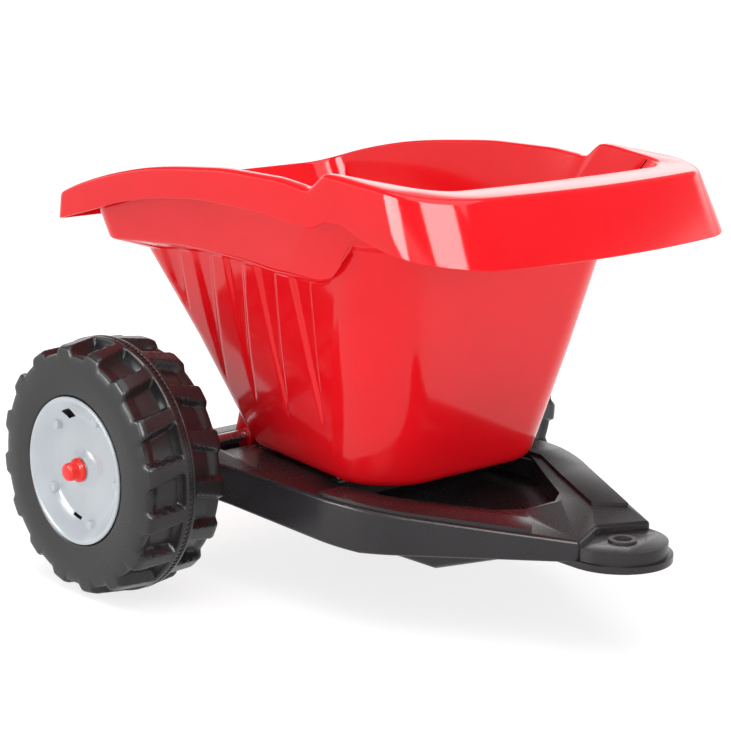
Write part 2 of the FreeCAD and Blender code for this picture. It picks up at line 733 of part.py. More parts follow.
def make_tub():
    wall = size("tub_wall")
    rim = [RIM_REAR, RIM_FRONT]
    below_rim = under(rim)
    below_step = under([STEP_SIDE, STEP_FRONT])
    outer = hopper(0).common(below_rim)
    for lug_shape in hinge_lugs():
        outer = outer.fuse(lug_shape)
    outer = outer.fuse(step_body(0).common(below_rim.cut(below_step)))
    hollow = hopper(wall).fuse(step_body(wall).cut(under([STEP_SIDE, STEP_FRONT], -wall)))
    shell = outer.cut(hollow)

    band = below_rim.cut(under([SKIRT_EDGE]))
    plate = skirt_body(0).common(below_rim.cut(under(rim, wall)))
    hanging = skirt_body(0).cut(skirt_body(wall)).common(band)
    rim_shape = plate.fuse(hanging).cut(step_body(wall))
    tub = shell.fuse(rim_shape)
    tub = tub.cut(along_y(size("axle_radius") + size("axle_clearance"), -200, 200))
    keep_shape("tub", tub.removeSplitter())


for wheel_side in SIDES:
    make_wheel(wheel_side)
make_axle()
make_chassis()
make_clamps()
make_foot()
make_hitch_bush()
make_tub()

doc.recompute()
for item in doc.Objects:
    if "Invalid" in item.State or "Error" in item.State:
        raise RuntimeError(f"{item.Label}: {item.State}")
os.makedirs("parts", exist_ok=True)
for item in NODES:
    if item.Shape.isNull() or not item.Shape.isValid():
        raise RuntimeError(f"{item.Label}: no valid shape")
    item.Shape.exportStep(os.path.join("parts", item.Label + ".step"))
    print(item.Label, len(item.Shape.Solids), round(item.Shape.Volume / 1000, 1))
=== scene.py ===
"""Looks of a two-wheeled tipping trailer for a pedal tractor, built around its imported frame.

Lengths are millimetres in the classes below, measured from the axle's station (x = 0) with z = 0 on the
floor; Drawing turns them into metres in the frame's own axes. +X is forward to the hitch, +Y is left.
"""

import json
import logging
import math
from dataclasses import dataclass, field
from enum import Enum
from typing import Callable, Iterable, Sequence

import bmesh
import bpy
import numpy as np
from mathutils import Matrix, Vector


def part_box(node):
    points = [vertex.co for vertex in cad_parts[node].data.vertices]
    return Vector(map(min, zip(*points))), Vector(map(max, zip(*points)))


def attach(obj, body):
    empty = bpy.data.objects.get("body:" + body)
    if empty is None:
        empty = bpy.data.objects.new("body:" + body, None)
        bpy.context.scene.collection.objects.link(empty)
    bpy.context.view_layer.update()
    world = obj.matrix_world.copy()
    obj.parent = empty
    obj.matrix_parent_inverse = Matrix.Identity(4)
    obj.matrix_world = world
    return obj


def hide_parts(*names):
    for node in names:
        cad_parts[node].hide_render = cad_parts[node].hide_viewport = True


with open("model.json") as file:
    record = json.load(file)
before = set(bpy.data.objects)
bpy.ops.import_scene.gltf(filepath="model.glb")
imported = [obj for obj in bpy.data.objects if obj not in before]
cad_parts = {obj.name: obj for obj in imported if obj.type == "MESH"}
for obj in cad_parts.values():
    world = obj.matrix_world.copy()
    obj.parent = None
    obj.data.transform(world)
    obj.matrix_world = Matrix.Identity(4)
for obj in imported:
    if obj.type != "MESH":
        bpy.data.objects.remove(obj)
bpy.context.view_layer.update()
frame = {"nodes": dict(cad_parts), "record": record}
LOG = logging.getLogger("trailer")
MM = 0.001


class Side(Enum):
    """The trailer's two sides, as signs of Y."""

    LEFT = 1
    RIGHT = -1

    @property
    def word(self) -> str:
        """The side's name as it stands in the names of nodes and bodies."""
        return self.name.lower()


class Slot(Enum):
    """Material slots of the record."""

    RED = "red_moulding"
    BLACK = "black_moulding"
    TYRE = "tyre"
    RIM = "rim"
    CAP = "red_cap"
    STEEL = "steel"
    BUSH = "bush"


def station_shift() -> float:
    """Distance in mm from the frame's origin back to the axle's station."""
    low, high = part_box("axle")
    return (low[0] + high[0]) / 2 / MM


SHIFT = station_shift()


# ---------------------------------------------------------------- shader maths

class Tree:
    """A node tree that builds nodes by type, settings and inputs."""

    def __init__(self, tree: bpy.types.NodeTree) -> None:
        """Empties the tree.

        Args:
            tree: the node tree to fill.
        """
        self.tree = tree
        tree.nodes.clear()

    def node(self, kind: str, settings: dict | None = None, **inputs: object) -> bpy.types.Node:
        """Adds one node.

        Args:
            kind: the node's type name.
            settings: properties that are set before the inputs.
            **inputs: values or wrapped sockets, by socket name with spaces as underscores, or by
                position as in0, in1.

        Returns:
            The node.
        """
        made = self.tree.nodes.new(kind)
        for name, value in (settings or {}).items():
            setattr(made, name, value)
        for name, value in inputs.items():
            numbered = name[:2] == "in" and name[2:].isdigit()
            key: int | str = int(name[2:]) if numbered else name.replace("_", " ")
            self.feed(made.inputs[key], value)
        return made

    def feed(self, socket: bpy.types.NodeSocket, value: object) -> None:
        """Links or sets one input socket."""
        if isinstance(value, Wire):
            self.tree.links.new(value.socket, socket)
        else:
            socket.default_value = value

    def out(self, kind: str, output: int | str = 0, settings: dict | None = None, **inputs: object) -> "Wire":
        """Adds a node and wraps one of its outputs."""
        return Wire(self, self.node(kind, settings, **inputs).outputs[output])


class Wire:
    """A socket that takes part in Python arithmetic; each operator adds a Math node."""

    def __init__(self, tree: Tree, socket: bpy.types.NodeSocket) -> None:
        """Wraps an output socket of a tree."""
        self.tree = tree
        self.socket = socket

    def _math(self, operation: str, first: object, second: object = 0.0) -> "Wire":
        """One Math node."""
        return self.tree.out("ShaderNodeMath", 0, {"operation": operation}, in0=first, in1=second)

    def __add__(self, other: object) -> "Wire":
        """self + other"""
        return self._math("ADD", self, other)

    __radd__ = __add__

    def __mul__(self, other: object) -> "Wire":
        """self * other"""
        return self._math("MULTIPLY", self, other)

    __rmul__ = __mul__

    def __sub__(self, other: object) -> "Wire":
        """self - other"""
        return self._math("SUBTRACT", self, other)

    def __rsub__(self, other: object) -> "Wire":
        """other - self"""
        return self._math("SUBTRACT", other, self)

    def clamped(self) -> "Wire":
        """The value held between 0 and 1."""
        return self.tree.out("ShaderNodeClamp", 0, None, in0=self)

    def over(self, low: float, high: float) -> "Wire":
        """0 below low, 1 above high, smooth between."""
        return self.tree.out("ShaderNodeMapRange", 0, {"interpolation_type": "SMOOTHSTEP"},
                             in0=self, in1=low, in2=high)


# ---------------------------------------------------------------- finishes

@dataclass(frozen=True)
class Moulded:
    """Injection or blow moulded plastic.

    Attributes:
        name: material name.
        colour: main colour, linear.
        deep: colour of the pigment's darker streaks, linear.
        roughness: mean gloss.
        spread: how far roughness wanders.
        peel: height of the slow waviness of the moulded skin, in mm.
        grain: height of the fine grain, in mm.
        grain_size: grains per metre.
        coat: clear gloss over the colour.
        scuff: share of fine wear marks.
        specular: reflectance of the skin.
    """

    name: str
    colour: tuple[float, float, float]
    deep: tuple[float, float, float]
    roughness: float
    spread: float = 0.04
    peel: float = 0.02
    grain: float = 0.0
    grain_size: float = 1500.0
    coat: float = 0.0
    scuff: float = 0.0
    specular: float = 0.5

    def material(self) -> bpy.types.Material:
        """Builds the material's nodes and returns it."""
        material = bpy.data.materials.new(self.name)
        material.use_nodes = True
        tree = Tree(material.node_tree)
        place = tree.out("ShaderNodeTexCoord", "Object")
        streak = tree.out("ShaderNodeTexNoise", "Fac", None, Vector=place, Scale=14.0, Detail=4.0,
                          Roughness=0.55)
        speck = tree.out("ShaderNodeTexNoise", "Fac", None, Vector=place, Scale=420.0, Detail=2.0)
        scratch_place = tree.out("ShaderNodeMapping", 0, None, Vector=place, Scale=(1.0, 1.0, 9.0),
                                 Rotation=(0.5, 0.3, 0.9))
        scratch = tree.out("ShaderNodeTexNoise", "Fac", None, Vector=scratch_place, Scale=160.0, Detail=5.0,
                           Roughness=0.7)
        worn = scratch.over(0.62, 0.72) * self.scuff
        mixed = tree.node("ShaderNodeMix", {"data_type": "RGBA"}, in0=streak.over(0.35, 0.75))
        mixed.inputs[6].default_value = (*self.colour, 1)
        mixed.inputs[7].default_value = (*self.deep, 1)
        base = self.roughness - self.spread * 0.6
        rough = streak * self.spread + speck * (self.spread * 0.5) + worn * 0.3 + base
        height = (streak - 0.5) * (self.peel * MM) + worn * (-0.01 * MM)
        wave = tree.out("ShaderNodeTexNoise", "Fac", None, Vector=place, Scale=36.0, Detail=1.0)
        height = height + (wave - 0.5) * (self.peel * MM)
        if self.grain:
            grain = tree.out("ShaderNodeTexVoronoi", "Distance", {"feature": "F1"}, Vector=place,
                             Scale=self.grain_size)
            height = height + grain * (self.grain * MM)
        bump = tree.out("ShaderNodeBump", 0, None, Strength=1.0, Distance=1.0, Height=height)
        shader = tree.out("ShaderNodeBsdfPrincipled", 0, None, Base_Color=Wire(tree, mixed.outputs[2]),
                          Roughness=rough.clamped(), Normal=bump)
        shader.socket.node.inputs["Coat Weight"].default_value = self.coat
        shader.socket.node.inputs["Coat Roughness"].default_value = 0.03
        shader.socket.node.inputs["Specular IOR Level"].default_value = self.specular
        tree.node("ShaderNodeOutputMaterial", None, Surface=shader)
        return material


@dataclass(frozen=True)
class Zinc:
    """Zinc-plated steel with the faint marks of turning and handling."""

    name: str = "zinc_plate"
    colour: tuple[float, float, float] = (0.62, 0.63, 0.65)
    roughness: float = 0.28

    def material(self) -> bpy.types.Material:
        """Builds the material's nodes and returns it."""
        material = bpy.data.materials.new(self.name)
        material.use_nodes = True
        tree = Tree(material.node_tree)
        place = tree.out("ShaderNodeTexCoord", "Object")
        bands = tree.out("ShaderNodeMapping", 0, None, Vector=place, Scale=(1.0, 40.0, 1.0))
        turned = tree.out("ShaderNodeTexNoise", "Fac", None, Vector=bands, Scale=60.0, Detail=3.0)
        cloud = tree.out("ShaderNodeTexNoise", "Fac", None, Vector=place, Scale=90.0, Detail=4.0)
        mixed = tree.node("ShaderNodeMix", {"data_type": "RGBA"}, in0=cloud.over(0.3, 0.7))
        mixed.inputs[6].default_value = (*self.colour, 1)
        mixed.inputs[7].default_value = (*(part * 0.8 for part in self.colour), 1)
        rough = (turned - 0.5) * 0.2 + cloud * 0.1 + (self.roughness - 0.05)
        bump = tree.out("ShaderNodeBump", 0, None, Strength=0.6, Distance=1.0, Height=turned * (0.02 * MM))
        shader = tree.out("ShaderNodeBsdfPrincipled", 0, None, Base_Color=Wire(tree, mixed.outputs[2]),
                          Roughness=rough.clamped(), Metallic=1.0, Normal=bump)
        tree.node("ShaderNodeOutputMaterial", None, Surface=shader)
        return material


class Finishes:
    """The finishes of the trailer, each made once."""

    def __init__(self) -> None:
        """Builds every material."""
        black = {"spread": 0.08, "peel": 0.03, "grain": 0.015, "grain_size": 1400.0, "scuff": 0.25}
        tyre = {"spread": 0.1, "peel": 0.05, "grain": 0.02, "grain_size": 1100.0, "scuff": 0.3}
        plans = {
            Slot.RED: Moulded("tub_red", (0.80, 0.006, 0.012), (0.75, 0.005, 0.010), 0.1, spread=0.03,
                              peel=0.05, specular=0.3),
            Slot.BLACK: Moulded("chassis_black", (0.021, 0.019, 0.021), (0.015, 0.013, 0.015), 0.26,
                                specular=0.3, **black),
            Slot.TYRE: Moulded("tyre_black", (0.016, 0.014, 0.015), (0.011, 0.010, 0.010), 0.27,
                               specular=0.35, **tyre),
            Slot.RIM: Moulded("rim_grey", (0.50, 0.54, 0.57), (0.46, 0.50, 0.53), 0.2, spread=0.05,
                              peel=0.03, specular=0.4),
            Slot.CAP: Moulded("cap_red", (0.85, 0.02, 0.012), (0.78, 0.015, 0.01), 0.16, specular=0.4),
            Slot.STEEL: Zinc(),
            Slot.BUSH: Moulded("dark_nylon", (0.05, 0.05, 0.055), (0.04, 0.04, 0.045), 0.45),
        }
        self.by_slot: dict[Slot, bpy.types.Material] = {
            slot: plan.material() for slot, plan in plans.items()}


# ---------------------------------------------------------------- meshes

class Drawing:
    """A mesh being drawn in mm from the axle's station, which becomes a piece in metres."""

    def __init__(self, name: str) -> None:
        """Starts an empty drawing with the piece's name."""
        self.name = name
        self.mesh = bmesh.new()

    def grid(self, rings: np.ndarray, closed: bool = True, cap_start: bool = False,
             cap_end: bool = False) -> None:
        """Skins rings of points.

        Args:
            rings: array of shape (rings, points, 3).
            closed: whether each ring closes on itself.
            cap_start: fills the first ring.
            cap_end: fills the last ring.
        """
        rows, columns = rings.shape[:2]
        spots = [[self.mesh.verts.new(tuple(point)) for point in ring] for ring in rings]
        for row in range(rows - 1):
            for column in range(columns if closed else columns - 1):
                ahead = (column + 1) % columns
                self.mesh.faces.new((spots[row][column], spots[row][ahead], spots[row + 1][ahead],
                                     spots[row + 1][column]))
        if cap_start:
            self.mesh.faces.new(spots[0])
        if cap_end:
            self.mesh.faces.new(spots[-1])

    def turned(self, profile: Sequence[tuple[float, float]], centre: tuple[float, float, float],
               steps: int = 96, axis: str = "Y") -> None:
        """Turns a closed profile about an axis.

        Args:
            profile: (radius, distance along the axis) pairs round the section.
            centre: a point on the axis, where the distance is 0.
            steps: number of divisions of the circle.
            axis: "Y" or "Z".
        """
        section = np.array(list(profile), float)
        turn = np.linspace(0, 2 * math.pi, steps, endpoint=False)
        radius = section[:, 0][None, :]
        across = radius * np.cos(turn)[:, None]
        up = radius * np.sin(turn)[:, None]
        reach = np.broadcast_to(section[:, 1][None, :], across.shape)
        order = (across, reach, up) if axis == "Y" else (across, up, reach)
        rings = np.stack(order, -1) + np.array(centre)
        rings = np.concatenate([rings, rings[:1]])
        self.grid(rings)
        bmesh.ops.remove_doubles(self.mesh, verts=self.mesh.verts, dist=1e-4)

    def prism(self, outline: Sequence[tuple[float, float]], low: float, high: float, axis: str = "Z") -> None:
        """Raises a flat outline into a closed prism.

        Args:
            outline: (x, y) pairs for axis "Z", (x, z) pairs for axis "Y".
            low: start along the axis.
            high: end along the axis.
            axis: direction of the prism.
        """
        def spot(pair: tuple[float, float], reach: float) -> tuple[float, float, float]:
            """A corner of the outline, at a distance along the axis."""
            return (pair[0], pair[1], reach) if axis == "Z" else (pair[0], reach, pair[1])

        bottom = [self.mesh.verts.new(spot(pair, low)) for pair in outline]
        top = [self.mesh.verts.new(spot(pair, high)) for pair in outline]
        self.mesh.faces.new(bottom)
        self.mesh.faces.new(top)
        for k in range(len(outline)):
            ahead = (k + 1) % len(outline)
            self.mesh.faces.new((bottom[k], bottom[ahead], top[ahead], top[k]))

    def object(self) -> bpy.types.Object:
        """Turns the drawing into a linked object at the origin, in the frame's metres."""
        bmesh.ops.transform(self.mesh, verts=self.mesh.verts,
                            matrix=Matrix.Scale(MM, 4) @ Matrix.Translation((SHIFT, 0, 0)))
        bmesh.ops.recalc_face_normals(self.mesh, faces=self.mesh.faces)
        data = bpy.data.meshes.new(self.name)
        self.mesh.to_mesh(data)
        self.mesh.free()
        piece = bpy.data.objects.new(self.name, data)
        bpy.context.scene.collection.objects.link(piece)
        return piece


def smooth(piece: bpy.types.Object, angle: float = 32.0) -> None:
    """Shades a piece smooth, with edges sharper than the angle (degrees) left sharp."""
    data = piece.data
    data.polygons.foreach_set("use_smooth", [True] * len(data.polygons))
    data.set_sharp_from_angle(angle=math.radians(angle))


def baked(piece: bpy.types.Object) -> None:
    """Applies a piece's modifiers to its mesh and removes them."""
    view = bpy.context.evaluated_depsgraph_get()
    view.update()
    data = bpy.data.meshes.new_from_object(piece.evaluated_get(view), preserve_all_data_layers=True,
                                           depsgraph=view)
    old = piece.data
    piece.modifiers.clear()
    piece.data = data
    data.name = piece.name
    bpy.data.meshes.remove(old)


def combine(piece: bpy.types.Object, tool: bpy.types.Object, operation: str) -> None:
    """Joins, cuts or intersects a piece with a tool, which is used up."""
    change = piece.modifiers.new("combine", "BOOLEAN")
    change.operation = operation
    change.solver = "EXACT"
    change.object = tool
    baked(piece)
    data = tool.data
    bpy.data.objects.remove(tool)
    bpy.data.meshes.remove(data)


def rounded(piece: bpy.types.Object, width: float, segments: int = 3, angle: float = 28.0) -> None:
    """Rounds a piece's edges.

    Args:
        piece: the object.
        width: width of the rounding in mm.
        segments: steps of the rounding.
        angle: only edges sharper than this, in degrees.
    """
    merge = bmesh.new()
    merge.from_mesh(piece.data)
    bmesh.ops.remove_doubles(merge, verts=merge.verts, dist=2e-6)
    bmesh.ops.dissolve_limit(merge, angle_limit=math.radians(0.6), verts=merge.verts, edges=merge.edges)
    merge.to_mesh(piece.data)
    merge.free()
    bevel = piece.modifiers.new("round", "BEVEL")
    bevel.width = width * MM
    bevel.segments = segments
    bevel.limit_method = "ANGLE"
    bevel.angle_limit = math.radians(angle)
    bevel.miter_outer = "MITER_ARC"
    bevel.harden_normals = False
    baked(piece)


def finish_piece(piece: bpy.types.Object, body: str, slot: Slot, finishes: Finishes,
                 stands_for: Iterable[str] = ()) -> None:
    """Gives a piece its material and its body, and hides the nodes that it stands for."""
    piece.data.materials.clear()
    piece.data.materials.append(finishes.by_slot[slot])
    piece.data.polygons.foreach_set("material_index", [0] * len(piece.data.polygons))
    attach(piece, body)
    names = list(stands_for)
    if names:
        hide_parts(*names)
    LOG.info("%s rides on %s, %d faces", piece.name, body, len(piece.data.polygons))


def eased(points: Sequence[tuple[float, float]]) -> Callable[[np.ndarray], np.ndarray]:
    """A smooth line through points that never overshoots them.

    Args:
        points: (place, value) pairs in order of place.

    Returns:
        A function from places to values.
    """
    place = np.array([p[0] for p in points], float)
    value = np.array([p[1] for p in points], float)
    step = np.diff(place)
    slope = np.diff(value) / step
    tangent = np.zeros(len(place))
    tangent[0], tangent[-1] = slope[0], slope[-1]
    for k in range(1, len(place) - 1):
        if slope[k - 1] * slope[k] > 0:
            tangent[k] = 2 / (1 / slope[k - 1] + 1 / slope[k])

    def line(at: np.ndarray) -> np.ndarray:
        """The line's values at the places."""
        at = np.clip(at, place[0], place[-1])
        k = np.clip(np.searchsorted(place, at) - 1, 0, len(step) - 1)
        t = (at - place[k]) / step[k]
        return (value[k] * (2 * t**3 - 3 * t**2 + 1) + value[k + 1] * (3 * t**2 - 2 * t**3)
                + step[k] * (tangent[k] * (t**3 - 2 * t**2 + t) + tangent[k + 1] * (t**3 - t**2)))

    return line


def bent(path: Sequence[np.ndarray], radii: Sequence[float], steps: int) -> list[np.ndarray]:
    """Rounds the corners of many paths at once.

    Args:
        path: one array of points (columns, 3) for each corner.
        radii: rounding at each corner, in mm; 0 keeps the corner.
        steps: points in each rounding.

    Returns:
        The longer list of arrays.
    """
    out: list[np.ndarray] = []
    for k, corner in enumerate(path):
        if k in (0, len(path) - 1) or radii[k] == 0:
            out.append(corner)
            continue
        back, ahead = path[k - 1] - corner, path[k + 1] - corner
        far_back = np.linalg.norm(back, axis=1, keepdims=True)
        far_ahead = np.linalg.norm(ahead, axis=1, keepdims=True)
        start = corner + back / far_back * np.minimum(radii[k], 0.45 * far_back)
        end = corner + ahead / far_ahead * np.minimum(radii[k], 0.45 * far_ahead)
        for t in np.linspace(0, 1, steps):
            out.append((1 - t)**2 * start + 2 * t * (1 - t) * corner + t**2 * end)
    return out


# ---------------------------------------------------------------- tub

@dataclass(frozen=True)
class Level:
    """A plan outline of the tub at one height.

    Attributes:
        z: height.
        rear: rear edge.
        half_rear: half width at the rear edge.
        half_mid: half width at the tub's widest station, or None for straight sides.
        front: front edge.
        half_front: half width at the front edge.
        round_rear: radius of the rear corners.
        round_front: radius of the front corners.
        bow: how far the front edge falls back at its corners.
    """

    z: float
    rear: float
    half_rear: float
    half_mid: float | None
    front: float
    half_front: float
    round_rear: float
    round_front: float
    bow: float = 0.0

    def numbers(self, mid: float) -> np.ndarray:
        """The level as an array, the middle width filled in."""
        share = (mid - self.rear) / (self.front - self.rear)
        wide = self.half_mid if self.half_mid is not None else (
            self.half_rear + (self.half_front - self.half_rear) * share)
        return np.array([self.z, self.rear, self.half_rear, wide, self.front, self.half_front,
                         self.round_rear, self.round_front, self.bow])


@dataclass
class Tub:
    """The red tub: hopper, stepped upper band, rim and hanging skirt, drawn as one closed skin."""

    wall: float = 3.0
    floor: float = 122.0
    top: float = 413.5
    rear: float = -154.0
    front: float = 392.0
    widest: float = 246.0
    columns: tuple[int, int, int, int, int] = (16, 14, 190, 24, 24)
    hopper_rows: int = 46
    flute_depth: float = 3.0
    flute_half: float = 12.5
    flute_tops: tuple[float, ...] = (-10.0, 40.0, 88.0, 134.0, 183.0)
    flute_points: tuple[tuple[float, float], ...] = (
        (-8.0, 215.0), (30.0, 188.0), (74.0, 176.0), (127.0, 172.0), (183.0, 170.0))
    flute_edge: float = 5.5
    bend: float = 9.0
    step_rise: float = 6.0
    side_blend: float = 34.0
    lug_span: float = 59.0
    lug_thick: float = 8.0
    lug_radius: float = 13.0
    axle_height: float = 120.0
    bore: float = 6.05
    levels: dict[str, list[Level]] = field(default_factory=dict)

    def __post_init__(self) -> None:
        """Lays out the plan outlines of the tub's three envelopes."""
        top, rear, front = self.top, self.rear, self.front
        self.levels = {
            "hopper": [
                Level(self.floor, 30, 85, None, 251, 122, 35, 58),
                Level(top - 184.5, -20, 120, None, 272, 144, 37, 56),
                Level(top - 53.5, -104, 156, None, 299, 165.5, 39, 54)],
            "step": [
                Level(top - 117.5, rear + 62, 158, 166, front - 105, 160, 34, 50),
                Level(top - 68.5, rear + 24, 163, 171, front - 94, 165, 34, 50),
                Level(top + 10, rear + 12, 158, 176, front - 24, 149, 34, 36, 5)],
            "skirt": [
                Level(top - 100, rear, 176, None, front + 45, 199, 13, 62, 8),
                Level(top + 10, rear, 166, None, front - 10, 186, 12, 56, 8)],
        }
        share = self._share
        self.rim_line = eased([share(-0.01, 65), share(0.073, 47.5), share(0.178, 31.5), share(0.281, 20.5),
                               share(0.39, 14), share(0.5, 10), share(0.604, 10), share(0.66, 12.5),
                               share(0.69, 14.5), share(0.732, 0), share(0.807, 2.5), share(0.883, 5.5),
                               share(0.945, 9), share(1.1, 11)])
        self.skirt_line = eased([share(-0.03, 92), share(0.123, 69.5), share(0.194, 58.5), share(0.326, 46.5),
                                 share(0.452, 41.5), share(0.571, 42.5), share(0.66, 46.5), share(0.705, 47),
                                 share(0.745, 40), share(0.775, 40), share(0.82, 47.5), share(0.9, 56),
                                 share(1.1, 68.5)])
        self.step_line = eased([share(-0.05, 110), share(0.133, 107.5), share(0.286, 100.5),
                                share(0.387, 96.5), share(0.497, 97.5), share(0.576, 101.5),
                                share(0.66, 102), share(0.69, 98), share(0.715, 84), share(0.73, 66),
                                share(1.1, 66)])

    def _share(self, share: float, depth: float) -> tuple[float, float]:
        """A point of a line along the tub: a share of its length, and a depth below the rim's top."""
        return self.rear + share * (self.front - self.rear), self.top - depth

    def _seats(self) -> tuple[np.ndarray, np.ndarray]:
        """Which run of the half outline each column is on, and how far along it."""
        run, along = [], []
        for k, count in enumerate(self.columns):
            for step in range(count):
                run.append(k)
                along.append(step / count)
        run.append(4)
        along.append(1.0)
        return np.array(run), np.array(along)

    def spots(self, kind: str, z: np.ndarray, inset: float = 0.0) -> np.ndarray:
        """Points of the left half of an envelope, one for each column.

        Args:
            kind: envelope.
            z: height of each column.
            inset: distance inwards from the envelope.

        Returns:
            Array of points, from the middle of the rear round to the middle of the front.
        """
        levels = np.array([level.numbers(self.widest) for level in self.levels[kind]])
        k = np.clip(np.searchsorted(levels[:, 0], z) - 1, 0, len(levels) - 2)
        t = ((z - levels[k, 0]) / (levels[k + 1, 0] - levels[k, 0]))[:, None]
        mixed = levels[k] + (levels[k + 1] - levels[k]) * t
        lean_rear = np.arctan2(mixed[:, 3] - mixed[:, 2], self.widest - mixed[:, 1])
        lean_front = lean_rear
        if levels[0, 4] - self.widest > 30:
            lean_front = np.arctan2(mixed[:, 5] - mixed[:, 3], mixed[:, 4] - self.widest)
        rear = mixed[:, 1] + inset
        half_rear = mixed[:, 2] - inset
        half_mid = mixed[:, 3] - inset
        front = mixed[:, 4] - inset
        half_front = mixed[:, 5] - inset
        round_rear = mixed[:, 6] - inset
        round_front = mixed[:, 7] - inset
        rear_x = rear + round_rear
        rear_y = half_rear + round_rear * np.tan(lean_rear) - round_rear / np.cos(lean_rear)
        front_x = front - round_front
        front_y = half_front - round_front * np.tan(lean_front) - round_front / np.cos(lean_front)
        run, along = self._seats()
        x = np.zeros(len(run))
        y = np.zeros(len(run))
        bow = mixed[:, 8]

        flat = run == 0
        x[flat], y[flat] = rear[flat], (rear_y * along)[flat]
        corner = run == 1
        angle = math.pi - along * (math.pi / 2 - lean_rear)
        x[corner] = (rear_x + round_rear * np.cos(angle))[corner]
        y[corner] = (rear_y + round_rear * np.sin(angle))[corner]
        side = run == 2
        start = rear_x - round_rear * np.sin(lean_rear)
        end = front_x - round_front * np.sin(lean_front)
        station = start + (end - start) * along
        soft = self.side_blend
        gap = station - self.widest
        line = half_mid + gap * np.where(gap < 0, np.tan(lean_rear), np.tan(lean_front))
        turn = np.tan(lean_front) - np.tan(lean_rear)
        blunt = turn * np.clip(soft - np.abs(gap), 0, soft)**2 / (4 * soft)
        x[side], y[side] = station[side], (line + blunt)[side]
        corner = run == 3
        angle = (math.pi / 2 + lean_front) * (1 - along)
        x[corner] = (front_x + round_front * np.cos(angle))[corner]
        y[corner] = (front_y + round_front * np.sin(angle))[corner]
        flat = run == 4
        x[flat], y[flat] = front[flat], (front_y * (1 - along))[flat]
        fall = bow * np.clip(y / np.maximum(front_y, 1), 0, 1.4)**2
        ahead = np.clip((x - (front_x - 60)) / 60, 0, 1)
        return np.stack([x - fall * ahead, y, z], 1)

    def on_line(self, kind: str, line: Callable[[np.ndarray], np.ndarray], inset: float = 0.0,
                lift: float = 0.0) -> np.ndarray:
        """Points of an envelope where it meets a line drawn along the tub, raised by lift."""
        z = np.full(sum(self.columns) + 1, self.top - 50.0)
        for _ in range(12):
            z = line(self.spots(kind, z, inset)[:, 0]) + lift
        return self.spots(kind, z, inset)

    def _flutes(self, points: np.ndarray) -> np.ndarray:
        """Depth of the tapered flutes at points of the hopper's side."""
        x, z = points[:, 0], points[:, 2]
        top = self.step_line(x)
        depth = np.zeros(len(x))
        for centre, (point_x, point_z) in zip(self.flute_tops, self.flute_points):
            rise = np.clip((z - point_z) / (self.top - 103 - point_z), 0, 1.3)
            middle = point_x + (centre - point_x) * rise
            edge = (self.flute_half * rise - np.abs(x - middle)) / self.flute_edge + 0.45
            shape = np.clip(edge, 0, 1)
            fade = np.clip((z - point_z) / 10, 0, 1) * np.clip((top + 14 - z) / 8, 0, 1)
            depth = np.maximum(depth, shape**2 * (3 - 2 * shape) * fade)
        run, _ = self._seats()
        return self.flute_depth * depth * (run == 2)

    def _hopper_rows(self, inset: float, low: np.ndarray, high: np.ndarray, rows: int) -> list[np.ndarray]:
        """Rows of the hopper's skin between two heights, with its flutes."""
        out = []
        for t in np.linspace(0, 1, rows):
            points = self.spots("hopper", low + (high - low) * t, inset)
            points[:, 1] -= self._flutes(points)
            out.append(points)
        return out

    def half_skin(self) -> np.ndarray:
        """The left half of the skin, from the outer floor's edge over the rim to the inner floor's edge."""
        count = sum(self.columns) + 1
        wall = self.wall
        flat = np.full(count, self.floor)
        bend = self.bend
        step_low = self.on_line("hopper", self.step_line)
        rows = [self.spots("hopper", flat, 14.0), self.spots("hopper", flat, bend * 0.95)]
        for angle in np.radians([30, 60]):
            rows.append(self.spots("hopper", flat + bend * (1 - math.cos(angle)),
                                   bend * (1 - math.sin(angle))))
        rows += self._hopper_rows(0.0, flat + bend, step_low[:, 2] - 3, self.hopper_rows)
        step_out = self.spots("step", step_low[:, 2] + self.step_rise)
        inner_low = self.on_line("hopper", self.step_line, wall, 4.0)
        under_rim = self.on_line("step", self.rim_line, lift=-wall)
        fluted = step_low - np.array([0, 1, 0]) * self._flutes(step_low)[:, None]
        shoulder = [
            rows[-1], fluted, step_out, under_rim, self.on_line("skirt", self.rim_line, wall, -wall),
            self.on_line("skirt", self.skirt_line, wall), self.on_line("skirt", self.skirt_line),
            self.on_line("skirt", self.rim_line), self.on_line("step", self.rim_line, wall),
            self.spots("step", inner_low[:, 2] + self.step_rise, wall), inner_low]
        radii = [0, 3, 3.5, 3, 3, 1.3, 1.3, 4.5, 3.2, 4, 0]
        path = bent(shoulder, radii, 5)
        out = rows + path[1:]
        inner = self._hopper_rows(wall, inner_low[:, 2], flat + wall + bend, self.hopper_rows // 2)
        out += inner[1:]
        for angle in np.radians([60, 30]):
            out.append(self.spots("hopper", flat + wall + bend * (1 - math.cos(angle)),
                                  wall + bend * (1 - math.sin(angle))))
        out.append(self.spots("hopper", flat + wall, wall + bend * 0.95))
        out.append(self.spots("hopper", flat + wall, wall + 16))
        return np.array(out)

    def shell(self) -> bpy.types.Object:
        """The whole tub as one closed mesh."""
        half = self.half_skin()
        other = half[:, -2:0:-1] * np.array([1, -1, 1])
        drawing = Drawing("tub_shell")
        drawing.grid(np.concatenate([half, other], 1), cap_start=True, cap_end=True)
        piece = drawing.object()
        smooth(piece, 40)
        return piece

